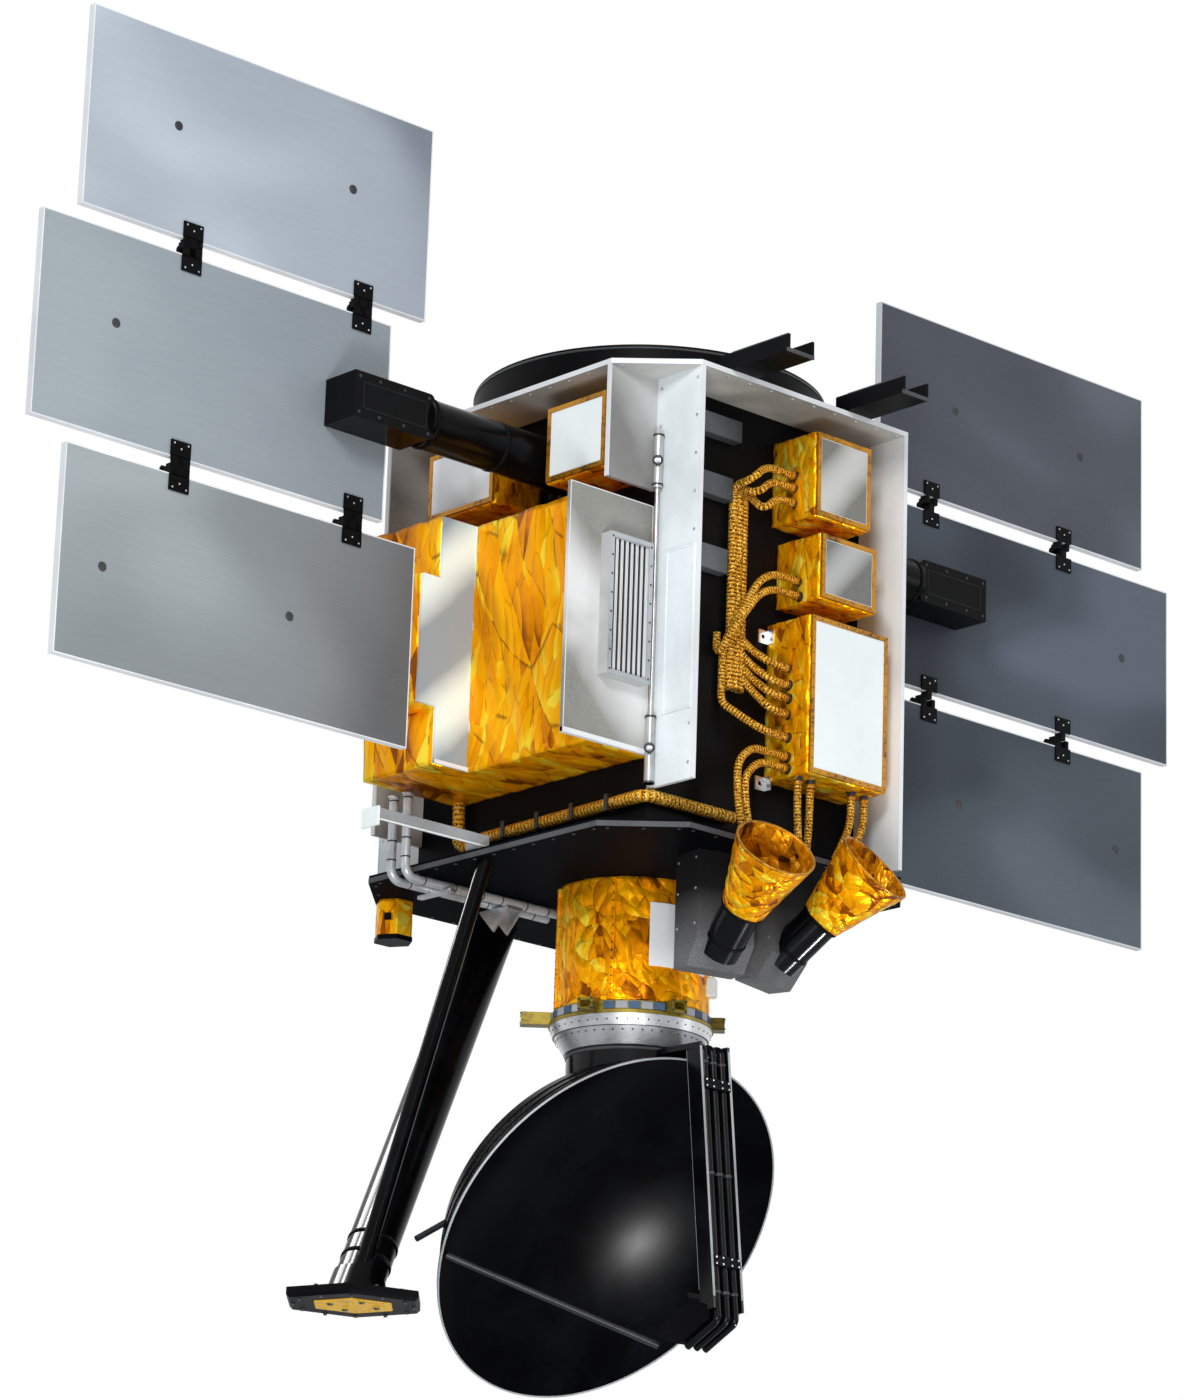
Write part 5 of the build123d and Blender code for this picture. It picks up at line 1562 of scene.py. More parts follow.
    def build(self) -> None:
        """Winds the cables, the trunk and the low harness, and adds their sockets."""
        tree = WrapTree()
        routes = self.routes()
        mesh = tree.grow("harness_cables", self._seed("cables", routes,
                                                      [self._bends(route) for route in routes]),
                         CABLE, Radius=self.radius)
        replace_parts(place_piece("harness_cables", mesh, "bus", CABLE), "harness_branches")
        x_mid, _, half_d = self.trunk
        y = -CORE_Y - half_d
        strands = [[Vector((x_mid + k * 0.0175, y - (0.0 if k else 0.002), BAY_TOP_Z - self.drops[0])),
                    Vector((x_mid + k * 0.0175, y - (0.0 if k else 0.002), BAY_TOP_Z - self.drops[1]))]
                   for k in (-1, 0, 1)]
        mesh = tree.grow("harness_bundle", self._seed("trunk", strands, [[0.0, 0.0]] * 3), TRUNK_WRAP,
                         Radius=0.0128,
                         Pitch=0.0105)
        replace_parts(place_piece("harness_bundle", mesh, "bus", CABLE), "harness_trunk")
        low_y, low_x = -CORE_Y - 0.020, -CORE_X - 0.020
        low = [Vector((low_x, 0.255, DECK_Z + 0.2117)), Vector((low_x, 0.255, DECK_Z + 0.080)),
               Vector((low_x, 0.150, DECK_Z + 0.100)), Vector((low_x, low_y, DECK_Z + 0.106)),
               Vector((x_mid, low_y, DECK_Z + 0.106))]
        mesh = tree.grow("harness_foot", self._seed("foot", [low], [[0.0, 0.038, 0.060, 0.024, 0.0]]),
                         FOOT_WRAP,
                         Radius=0.0165, Pitch=0.0125, Step=0.0036)
        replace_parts(place_piece("harness_foot", mesh, "bus", CABLE), "lower_harness")
        self._sockets(routes)

    def _sockets(self, routes: list[list[Vector]]) -> None:
        """Dark sockets where cables meet a box or the deck, and clips along the low harness."""
        sockets = Fixings(FixingShape.FERRULE, (0.0115, 0.0115, 0.013), STEEL_DARK)
        nuts = Fixings(FixingShape.BAND, (0.0132, 0.0132, 0.005), GOLD_FRAME)
        for route in routes:
            if abs(route[0].x - self.box_edge) < 0.031:
                self._end(sockets, nuts, route[0], BEHIND)
            if abs(route[-1].x - self.box_edge) < 0.001:
                self._end(sockets, nuts, route[-1], BEHIND)
            if route[-1].z < DECK_Z + 0.02:
                rise = route[-2] - route[-1]
                foot = Vector((route[-1].x, route[-1].y, DECK_Z + 0.019))
                sockets.put(foot + rise.normalized() * 0.006, rise)
            if abs(route[0].y - self.bottom_y) < 0.001:
                self._end(sockets, nuts, route[0], DOWN)
        sockets.piece("cable_sockets", "bus")
        nuts.piece("cable_nuts", "bus")
        clips = Maker()
        wall, reach, out = -CORE_X, -CORE_X - 0.0385, -CORE_X - 0.041
        bottom, top, thick = DECK_Z + 0.083, DECK_Z + 0.126, 0.0025
        for y in (-0.33, -0.20, -0.07, 0.06):
            near, far = y - 0.007, y + 0.007
            clips.slab((wall, near, bottom), (reach, far, bottom + thick))
            clips.slab((wall, near, top - thick), (reach, far, top))
            clips.slab((reach, near, bottom), (out, far, top))
        clips.piece("harness_clips", "bus", STEEL_DARK, 0.0007)

    def _end(self, sockets: Fixings, nuts: Fixings, end: Vector, out: Vector) -> None:
        """Socket and nut where a cable ends."""
        sockets.put(end - out * 0.001, out)
        nuts.put(end + out * 0.013, out)


@dataclass
class CornerRod:
    """Rod at the bay's corner with its sleeves and knobs."""

    x: float = -0.386
    y: float = -0.4588
    heights: Span = (-0.367, -1.124)
    reach: float = 0.0135

    def build(self) -> None:
        """Dresses the rod and rings its knobs."""
        dress(SILVER_ROD, "corner_rod")
        way = Vector((-1, -1, 0)).normalized()
        rings, buttons = Maker(), Maker()
        for height in self.heights:
            face = Vector((self.x - self.reach, self.y - self.reach, height))
            rings.spun([(0.007, -0.002), (0.0135, -0.003), (0.0142, 0.0), (0.0125, 0.0035), (0.008, 0.0035)],
                       face, way, 28)
            buttons.spun([(0.0001, -0.001), (0.0062, -0.001), (0.0058, 0.0022), (0.0001, 0.003)], face, way,
                         20)
        rings.piece("rod_knob_rings", "bus", STEEL_DARK, smooth=True)
        buttons.piece("rod_knob_buttons", "bus", SILVER, smooth=True)
        bands = Fixings(FixingShape.BAND, (0.0148, 0.0148, 0.005), STEEL_DARK)
        for height in (-0.298, -0.430, -1.212, -1.042):
            bands.put(Vector((self.x, self.y, height)), UP)
        bands.piece("rod_bands", "bus")


@dataclass
class Trackers:
    """Star trackers under the front of the deck.

    Attributes:
        rows: for each, foot x and y, yaw, lift, drop and length of the barrel.
    """

    rows: tuple[tuple[float, ...], ...] = ((-0.128, -0.438, -12.0, 40.0, 0.223, 0.104),
                                           (0.072, -0.437, 15.0, 38.0, 0.209, 0.118))
    half_depth: float = 0.054
    half_width: float = 0.084

    def sight(self, row: tuple[float, ...]) -> tuple[Vector, Vector]:
        """Where the barrel leaves its housing, and which way it looks."""
        foot_x, foot_y, yaw, lift, drop, _ = row
        turn = Matrix.Rotation(math.radians(yaw), 3, "Z")
        tip = math.radians(lift)
        way = turn @ Vector((0, -math.cos(tip), math.sin(tip)))
        origin = Vector((foot_x, foot_y, DECK_Z)) + turn @ Vector((0, -self.half_depth, -drop))
        return origin, way

    def build(self) -> None:
        """Wraps the cones, dresses barrels and housings and adds rings and screws."""
        dress(HOUSING_GREY, "tracker_housings")
        dress(BLACK_GLOSS, "tracker_barrels")
        sights = [self.sight(row) for row in self.rows]
        # the cones' insides take a darker foil as painted shade
        FoilSkin("tracker_baffles", CONE_BLANKET, 0.0075, 0.0045, 0.002, SHADED_CONE_INSIDE, sights).piece(
            "tracker_cone_foil", "bus")
        rings, rims = Maker(), Maker()
        screws = Fixings(FixingShape.SCREW, (0.0038, 0.0038, 0.0022), SILVER)
        for row, (origin, way) in zip(self.rows, sights):
            length = row[5]
            for share, radius in ((0.05, 0.053), (0.95, 0.055)):
                rings.band(0.049, radius, 0.004, 0.001, origin + way * length * share, way, 48)
            mouth = origin + way * (length + 0.190)
            rims.spun([(0.1010, -0.003), (0.1068, -0.003), (0.1075, 0.0012), (0.1058, 0.0028),
                       (0.1015, 0.0018)],
                      mouth, way, 72)
            self._housing_screws(screws, row)
        rings.piece("tracker_barrel_rings", "bus", BLACK_PAINT, smooth=True)
        rims.piece("tracker_mouth_rims", "bus", GOLD_FRAME, smooth=True)
        screws.piece("tracker_screws", "bus")

    def _housing_screws(self, screws: Fixings, row: tuple[float, ...]) -> None:
        """Screws on the side faces of one housing."""
        foot_x, foot_y, yaw = row[:3]
        turn = Matrix.Rotation(math.radians(yaw), 3, "Z")
        base = Vector((foot_x, foot_y, DECK_Z))
        for sign in (-1, 1):
            for y in (-0.042, 0.042):
                for z in (-0.02, -0.10, -0.19):
                    screws.put(base + turn @ Vector((sign * self.half_width, y, z)),
                               turn @ Vector((sign, 0, 0)))


@dataclass
class UnderDeck:
    """Pipes, outrigger and sun sensor at the lower deck."""

    pipe_x: float = -0.560
    pipe_ys: Span = (0.318, 0.262)
    pipe_z: float = DECK_Z - 0.015
    sensor: Span = (-0.360, 0.538)

    def build(self) -> None:
        """Dresses the pipes, the beam and the sensor and adds bands, plates and screws."""
        dress(SILVER_PIPE, "deck_pipes")
        dress(SILVER, "pipe_supports")
        dress(BEAM_GREY, "outrigger")
        FoilSkin("sun_sensor", SMALL_BLANKET, 0.007, 0.005, 0.002).piece("sun_sensor_foil", "bus")
        bands = Fixings(FixingShape.BAND, (0.0127, 0.0127, 0.004), STEEL_DARK)
        unions = Fixings(FixingShape.BOLT, (0.0155, 0.0155, 0.014), SILVER)
        for y in self.pipe_ys:
            for z in (-1.155, -1.205, -1.262, -1.312):
                bands.put(Vector((self.pipe_x, y, z)), UP)
            for x in (-0.500, -0.395, -0.300, -0.235, -0.150, -0.075):
                bands.put(Vector((x, y, self.pipe_z)), AHEAD)
            unions.put(Vector((self.pipe_x, y, -1.141)), DOWN)
        bands.piece("pipe_bands", "bus")
        unions.piece("pipe_unions", "bus")
        self._beam()
        self._sensor()

    def _beam(self) -> None:
        """End plate, bright flange edges and screws of the outrigger."""
        low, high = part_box("outrigger")
        plate = Maker()
        plate.slab((low.x - 0.004, low.y - 0.004, low.z - 0.006),
                   (low.x + 0.003, high.y + 0.004, high.z + 0.004))
        plate.slab((low.x, low.y - 0.0012, high.z - 0.031), (high.x, low.y + 0.0005, high.z - 0.026))
        plate.slab((low.x, high.y - 0.004, high.z - 0.0088), (high.x, high.y + 0.0012, high.z + 0.0008))
        plate.piece("outrigger_plate", "bus", RADIATOR, 0.001)
        screws = Fixings(FixingShape.SCREW, (0.0045, 0.0045, 0.003), SILVER)
        for y in (low.y + 0.010, high.y - 0.010):
            for x in (-0.512, -0.500):
                screws.put(Vector((x, y, high.z)), UP)
            screws.row(Vector((low.x + 0.03, y, high.z)), Vector((-0.56, y, high.z)), 6, UP)
        screws.piece("outrigger_screws", "bus")

    def _sensor(self) -> None:
        """Dark window, rim and lid of the sun sensor."""
        x, y = self.sensor
        low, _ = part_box("sun_sensor")
        centre = Vector((x, y, 0))
        rim = Maker()
        corners = [centre + radial(60 * k) * 0.0535 + UP * (low.z - 0.004) for k in range(6)]
        rim.prism(corners, UP * 0.013)
        for angle in (210.0, 30.0):
            out = radial(angle)
            middle = centre + out * 0.0435 + UP * (low.z + 0.056)
            corners = ((-0.009, -0.009), (0.009, -0.009), (0.009, 0.009), (-0.009, 0.009))
            rim.prism([middle + UP.cross(out) * a + UP * b for a, b in corners], out * 0.0075)
        rim.piece("sun_sensor_rim", "bus", BLACK_PAINT, 0.001)


@dataclass
class Mast:
    """Mast, brace and head."""

    head: Point = (-0.592, 0.350, -2.436)
    root: Point = (-0.012, 0.545, -1.346)
    plate_turn: float = 12.0
    plate_thickness: float = 0.026

    def build(self) -> None:
        """Dresses the mast and adds bands, the foil patch and the head's bolts."""
        dress(MAST_GLOSS, "mast_tube", "mast_brace")
        dress(BLACK_PAINT, "mast_head")
        head, root = Vector(self.head), Vector(self.root)
        line = (head - root).normalized()
        bands = Maker()
        for distance in (0.10, 0.16):
            at = head - line * distance
            bands.band(0.062, 0.0662, 0.005, 0.0006, at, line, 56)
        bands.piece("mast_bands", "bus", BLACK_PAINT, smooth=True)
        under = head.z - self.plate_thickness
        patch = Maker()
        centre = Vector((head.x, head.y, under - 0.0012))
        patch.prism([centre + radial(60 * k - self.plate_turn) * 0.112 for k in range(6)], UP * 0.002)
        patch.piece("mast_head_foil", "bus", PATCH_GOLD, 0.0008)
        dots = Fixings(FixingShape.CUP, (0.0085, 0.0085, 0.004), STEEL_DARK)
        dots.circle(centre, DOWN, 0.062, 4, first=20.0)
        dots.piece("mast_head_dots", "bus")
        bolts = Fixings(FixingShape.BOLT, (0.0065, 0.0065, 0.005), STEEL_DARK)
        bolts.circle(Vector((head.x, head.y, under)), DOWN, 0.152, 12, first=12.0)
        bolts.circle(Vector((head.x, head.y, head.z)), UP, 0.152, 12, first=12.0)
        bolts.piece("mast_head_bolts", "bus")


@dataclass
class Drum:
    """Foil drum with its sheet, its band of blocks and the bearing's ring.

    Attributes:
        radius: the drum's radius under the foil.
        cover: how far the sheet and the seams stand over the drum.
        band_radius: radius of the band that carries the blocks.
        block_turn: angle in degrees of the first mounting block.
    """

    radius: float = 0.198
    cover: float = 0.0075
    band_radius: float = 0.206
    block_turn: float = 18.0

    def build(self) -> None:
        """Wraps the drum and adds the sheet, seams, blocks and rivets."""
        FoilSkin("drum", DRUM_BLANKET, 0.009, 0.008, 0.0035).piece("drum_foil", "bus")
        dress(GOLD_BAND, "drum_band")
        dress(SILVER, "bearing_housing")
        deck = UP * DECK_Z
        sheet = Maker()
        inner, outer, foot, head = self.radius - 0.002, self.radius + self.cover, -0.232, -0.066
        sheet.spun([(inner, foot), (outer, foot), (outer, head), (inner, head)], deck, UP, 180,
                   (239.0, 292.0), AHEAD)
        sheet.piece("drum_sheet", "bus", SHEET_WHITE, 0.0012)
        box = Maker()
        out = radial(306.0)
        aside = UP.cross(out) * 0.02
        middle = out * (self.radius - 0.004) + deck - UP * 0.275
        box.prism([middle - aside, middle + aside, middle + aside + out * 0.026,
                   middle - aside + out * 0.026],
                  UP * 0.051)
        box.piece("drum_side_box", "bus", RADIATOR, 0.003)
        self._seams(deck)
        self._blocks()
        rivets = Fixings(FixingShape.RIVET, (0.0026, 0.0026, 0.0018), STEEL_DARK)
        rivets.circle(UP * -1.719, UP, 0.2052, 48, outward=True)
        rivets.circle(UP * -1.744, UP, 0.1935, 48, outward=True, first=3.75)
        rivets.piece("bearing_rivets", "bus")
        ring = Maker()
        ring.band(0.196, 0.1996, 0.0015, 0.0004, UP * -1.7328, UP, 96)
        ring.piece("bearing_seam", "bus", STEEL_DARK, smooth=True)

    def _seams(self, deck: Vector) -> None:
        """Upright seams of the foil, with their dots."""
        seams = Maker()
        dots = Fixings(FixingShape.RIVET, (0.0024, 0.0024, 0.0018), STEEL_DARK)
        outer, foot, head = self.radius + 0.0072, -0.322, -0.003
        profile = [(self.radius, foot), (outer, foot), (outer, head), (self.radius, head)]
        for angle in (92.0, 152.0, 212.0, 332.0):
            seams.spun(profile, deck, UP, 720, (angle - 1.6, angle + 1.6), AHEAD)
            out = radial(angle)
            top = out * outer + deck - UP * 0.02
            dots.row(top, top - UP * 0.285, 14, out)
        seams.piece("drum_seams", "bus", DRUM_BLANKET, 0.0006)
        dots.piece("drum_seam_dots", "bus")

    def _blocks(self) -> None:
        """Blue and silver blocks round the band, and the mounting blocks' screws."""
        blue = Fixings(FixingShape.BLOCK, (0.0098, 0.0148, 0.0026), BLUE_BLOCK)
        bright = Fixings(FixingShape.BLOCK, (0.0098, 0.0148, 0.0022), BEAM_GREY)
        mounts = [self.block_turn + 60 * k for k in range(6)]
        for index in range(40):
            angle = 9.0 * (index + 0.5)
            if any(abs((angle - mount + 180) % 360 - 180) < 8.5 for mount in mounts):
                continue
            out = radial(angle)
            (blue if index % 2 else bright).put(out * self.band_radius + UP * -1.6835, out)
        blue.piece("band_blocks_blue", "bus")
        bright.piece("band_blocks_bright", "bus")
        screws = Fixings(FixingShape.SCREW, (0.0034, 0.0034, 0.0022), STEEL_DARK)
        for k, mount in enumerate(mounts):
            out = radial(mount)
            face = out * (self.band_radius + (0.078 if k == 2 else 0.034))
            for a in (-0.018, 0.018):
                for z in (-1.6965, -1.6715):
                    screws.put(face + UP.cross(out) * a + UP * z, out)
        screws.piece("band_screws", "bus")


@dataclass
class DishAssembly:
    """Spinning dish with its backing, feed arm, waveguides, feed and strut.

    Attributes:
        centre: middle of the rim's plane.
        tilt: angle in degrees between the sight line and straight down.
    """

    centre: Point = (0.0, 0.060, -2.21602)
    tilt: float = 52.3

    def build(self) -> None:
        """Dresses the assembly and adds its rims, bolts, edges and collars."""
        body = "dish_assembly"
        dress(DISH_GLOSS, "dish", "dish_backing")
        dress(BLACK_GLOSS, "spin_hub", "waveguides", "feed_arm")
        dress(STRUT_GLOSS, "feed_strut", "balance_rod")
        dress(BLACK_PAINT, "feed_box", "guide_clamps")
        centre = Vector(self.centre)
        tip = math.radians(self.tilt)
        sight = Vector((0, -math.sin(tip), -math.cos(tip)))
        # the grey rim is a painted highlight along the dish's edge
        rim = Maker()
        rim.spun([(0.4965, -0.0045), (0.5010, -0.0045), (0.5016, -0.0015), (0.5006, 0.0012),
                  (0.4975, 0.0010)],
                 centre, sight, 180)
        rim.piece("dish_rim", body, BEAM_GREY, smooth=True)
        seam = Maker()
        seam.spun([(0.489, -0.0035), (0.4952, -0.0035), (0.4962, 0.0), (0.4955, 0.0025), (0.489, 0.0025)],
                  centre - sight * 0.012, sight, 180)
        for share in (0.36, 0.7):
            radius = 0.405 + (0.494 - 0.405) * share
            seam.band(radius - 0.003, radius + 0.0016, 0.002, 0.0006,
                      centre - sight * (0.150 - 0.140 * share), sight,
                      150)
        seam.piece("dish_backing_seams", body, BLACK_PAINT, smooth=True)
        hub_top = UP * -1.782
        bolts = Fixings(FixingShape.BOLT, (0.0055, 0.0055, 0.005), STEEL_DARK)
        bolts.circle(centre - sight * 0.1500, -sight, 0.375, 24)
        bolts.circle(hub_top, UP, 0.150, 16)
        bolts.piece("dish_bolts", body)
        hub = Maker()
        hub.spun([(0.162, -0.007), (0.1672, -0.007), (0.1680, -0.003), (0.1672, 0.0012), (0.162, 0.0012)],
                 hub_top,
                 UP, 96)
        hub.band(0.162, 0.1662, 0.004, 0.0006, UP * -1.850, UP, 96)
        hub.piece("hub_rings", body, DARK_EDGE, smooth=True)
        self._arm(body)

    def _arm(self, body: str) -> None:
        """Bright edges of the arm's channel as painted highlights, collars on the waveguides and screws on
        the clamps.
        """
        top = Vector((0, -0.2910, -1.800))
        foot = Vector((0, -0.366, -2.471))
        line = (foot - top).normalized()
        out = Vector((0, line.z, -line.y))
        out = out if out.y < 0 else -out
        # grey strips along the channel's edges: painted highlights
        edges = Maker()
        half, thick, spread = AHEAD * 0.0038, 0.0009, 0.0240
        for sign in (-1, 1):
            for side in (-1, 1):
                aside = AHEAD * sign * 0.0485 + out * side * spread
                start, end = top + aside, foot + aside - line * (0.03 if side > 0 else 0.055)
                lift = out * side * thick
                edges.prism([start - half, start + half, start + half + lift, start - half + lift],
                            end - start)
        edges.piece("arm_edges", body, BEAM_GREY, 0.0003)
        collars = Fixings(FixingShape.BAND, (0.0112, 0.0112, 0.007), STEEL_DARK)
        shift = out * (0.0035 + 0.0003 + 0.0095)
        for x in (-0.030, 0.0, 0.030):
            for share in (0.05, 0.48, 0.93):
                collars.put(top.lerp(foot, share) + shift + Vector((x, 0, 0)), line)
        collars.piece("guide_collars", body)
        screws = Fixings(FixingShape.SCREW, (0.0026, 0.0026, 0.0018), SILVER)
        for share in (0.14, 0.82):
            at = top.lerp(foot, share) + out * 0.0287
            for x in (-0.038, -0.015, 0.015, 0.038):
                for along in (-0.008, 0.008):
                    screws.put(at + Vector((x, 0, 0)) + line * along, out)
        screws.piece("clamp_screws", body)


@dataclass
class Wing:
    """One solar wing with its boom, bracket, panels and hinges.

    Attributes:
        side: left or right.
        inserts: for each level, the x and z of its round inserts.
    """

    side: Side
    inserts: dict[Level, tuple[Span, ...]]

    def finish(self, level: Level) -> CloudedSkin:
        """Skin of one panel, painted lighter on the left wing and darker on the right, as painted light and
        painted shade on one skin.
        """
        number = list(Level).index(level)
        left = self.side is Side.LEFT
        # lit tones for the left wing and shaded tones for the right: painted light and painted shade
        if left:
            shades = (((0.205, 0.235, 0.275), (0.56, 0.62, 0.69)), ((0.255, 0.29, 0.32), (0.33, 0.37, 0.40)),
                      ((0.125, 0.135, 0.145), (0.34, 0.375, 0.39)))[number]
            shift = (0.35, 0.1 + number, 0.3 * number)
        else:
            shades = (((0.050, 0.056, 0.074), (0.130, 0.142, 0.172)),
                      ((0.036, 0.043, 0.056), (0.118, 0.138, 0.175)),
                      ((0.042, 0.051, 0.064), (0.110, 0.132, 0.160)))[number]
            shift = (0.2, 3.1 + number, 0.45 * number)
        sign = self.side.sign
        return CloudedSkin(f"panel_skin_{level.value}_{self.side.value}", "panel_grey", *shades, shift=shift,
                           painted_light_share=0.55 if left else 0.25, span=(sign * 0.85, sign * 1.95))

    def build(self) -> None:
        """Dresses the wing and adds trim, inserts, cells and screws to each panel."""
        name = self.side.value
        dress(MAST_GLOSS, f"wing_drive_{name}")
        dress(BLACK_PAINT, f"drive_collar_{name}", f"hinges_{name}")
        self._boom(name)
        for level in Level:
            node = f"panel_{level.value}_{name}"
            body = f"{name}_wing" if level is Level.MIDDLE else f"{name}_{level.value}_panel"
            dress(self.finish(level), node)
            if level is not Level.MIDDLE:
                dress(BLACK_PAINT, f"hinge_leaves_{level.value}_{name}")
            self._panel(level, node, body)
        self._hinge_screws(name)
        if self.side is Side.LEFT:
            self._straps(name)

    def _straps(self, name: str) -> None:
        """Plates that carry each hinge leaf on to the pin's line."""
        low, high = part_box(f"panel_middle_{name}")
        for level, edge, up in ((Level.UPPER, high.z, 1), (Level.LOWER, low.z, -1)):
            halves = {f"{name}_wing": (edge - up * 0.004, edge + up * 0.0222),
                      f"{name}_{level.value}_panel": (edge + up * 0.0228, edge + up * 0.049)}
            for body, heights in halves.items():
                straps = Maker()
                for share in HINGE_SHARES:
                    x = low.x + PANEL_LENGTH * share
                    straps.slab((x - 0.030, low.y - 0.005, heights[0]),
                                (x + 0.030, low.y - 0.002, heights[1]))
                straps.piece(f"hinge_straps_{level.value}_{body}", body, BLACK_PAINT, 0.0006)

    def _boom(self, name: str) -> None:
        """Bands on the boom, screws and rim of the bracket, and the drive collar's bolts."""
        sign, body = self.side.sign, f"{name}_wing"
        way = AHEAD * sign
        bands = Maker()
        for x, radius in ((0.412, 0.0672), (0.640, 0.0662), (0.872, 0.0672)):
            bands.band(radius - 0.004, radius, 0.006, 0.0008, Vector((sign * x, BOOM_Y, BOOM_Z)), way, 64)
        bands.piece(f"boom_bands_{name}", body, BLACK_PAINT, smooth=True)
        face_y = BOOM_Y - 0.050
        screws = Fixings(FixingShape.SCREW, (0.0045, 0.0045, 0.003), STEEL_DARK)
        for x in (0.90, 0.98, 1.06, 1.125):
            for z in (-0.047, 0.047):
                screws.put(Vector((sign * x, face_y, BOOM_Z + z)), FRONT)
        screws.piece(f"bracket_screws_{name}", body)
        rim = Maker()
        rim.border("Y", face_y, (sign * 0.905, sign * 1.115), (BOOM_Z - 0.036, BOOM_Z + 0.036), (0.0, 0.005),
                   FRONT * 0.0014)
        rim.piece(f"bracket_frame_{name}", body, BLACK_GLOSS, 0.0005)
        bolts = Fixings(FixingShape.BOLT, (0.006, 0.006, 0.005), STEEL_DARK)
        bolts.circle(Vector((sign * 0.402, BOOM_Y, BOOM_Z)), way, 0.077, 12, first=15.0)
        bolts.piece(f"collar_bolts_{name}", "bus")

    def _panel(self, level: Level, node: str, body: str) -> None:
        """Trim, inserts and cells of one panel."""
        low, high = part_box(node)
        tag = f"{level.value}_{self.side.value}"
        trim = Maker()
        back, depth = low.y - 0.0008, high.y - low.y + 0.0014
        trim.border("Y", back, (low.x, high.x), (low.z, high.z), (-0.0010, 0.0024), FRONT * -depth)
        trim.piece(f"panel_trim_{tag}", body, BRIGHT_EDGE, 0.0005)
        cups = Fixings(FixingShape.CUP, (0.0125, 0.0125, 0.0024), STEEL_DARK)
        for x, z in self.inserts[level]:
            cups.put(Vector((x, low.y, z)), FRONT)
        cups.piece(f"panel_inserts_{tag}", body)
        columns, rows, edge = 26, 12, 0.012
        width, height = (high.x - low.x - 2 * edge) / columns, (high.z - low.z - 2 * edge) / rows
        cells = Fixings(FixingShape.BLOCK, (height / 2 - 0.0008, width / 2 - 0.0008, 0.0010), CELLS)
        for column in range(columns):
            for row in range(rows):
                cells.put(Vector((low.x + edge + width * (column + 0.5), high.y,
                                  low.z + edge + height * (row + 0.5))),
                          Vector((0, 1, 0)))
        cells.piece(f"solar_cells_{tag}", body)

    def _hinge_screws(self, name: str) -> None:
        """Three small screws on each hinge leaf."""
        size = (0.0026, 0.0026, 0.0014)
        wing_screws = Fixings(FixingShape.SCREW, size, SILVER)
        leaf_screws = {level: Fixings(FixingShape.SCREW, size, SILVER) for level in (Level.UPPER,
                                                                                     Level.LOWER)}
        low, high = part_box(f"panel_middle_{name}")
        outer_x = high.x if self.side is Side.RIGHT else low.x
        for share in HINGE_SHARES:
            x = outer_x - self.side.sign * PANEL_LENGTH * share
            for level, screws in leaf_screws.items():
                up, edge = (1, high.z) if level is Level.UPPER else (-1, low.z)
                for dx, dz in ((-0.021, 0.034), (0.021, 0.034), (0.0, 0.022)):
                    wing_screws.put(Vector((x + dx, low.y - 0.005, edge - up * dz)), FRONT)
                    screws.put(Vector((x + dx, low.y - 0.005, edge + up * (0.045 + dz))), FRONT)
        wing_screws.piece(f"hinge_screws_{name}", f"{name}_wing")
        for level, screws in leaf_screws.items():
            screws.piece(f"leaf_screws_{level.value}_{name}", f"{name}_{level.value}_panel")


@dataclass
class Lamp:
    """Area lamp that isn't seen by the camera itself."""

    name: str
    place: Point
    aim: Point
    size: Span
    power: float
    shine_only: bool = False
    roll: float = 0.0
    only: tuple[str, ...] = ()
    spares_floor: bool = False

    def build(self, floor: bpy.types.Object) -> None:
        """Places the lamp, turns it to its aim and limits what it lights.

        Args:
            floor: the floor, which a lamp close above it can spare.
        """
        light = bpy.data.lights.new(self.name, "AREA")
        light.shape = "RECTANGLE"
        light.size, light.size_y = self.size
        light.energy = self.power
        lamp = bpy.data.objects.new(self.name, light)
        lamp.location = self.place
        lamp.rotation_euler = (Vector(self.aim) - Vector(self.place)).to_track_quat("-Z", "Y").to_euler()
        lamp.rotation_euler.rotate_axis("Z", math.radians(self.roll))
        lamp.visible_camera = False
        lamp.visible_diffuse = not self.shine_only
        if self.only:
            lit = bpy.data.collections.new(self.name + "_lit")
            for node in self.only:
                lit.objects.link(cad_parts[node])
            lamp.light_linking.receiver_collection = lit
        if self.spares_floor:
            spared = bpy.data.collections.new(self.name + "_spared")
            spared.objects.link(floor)
            spared.collection_objects[0].light_linking.link_state = "EXCLUDE"
            lamp.light_linking.receiver_collection = spared
        bpy.context.scene.collection.objects.link(lamp)


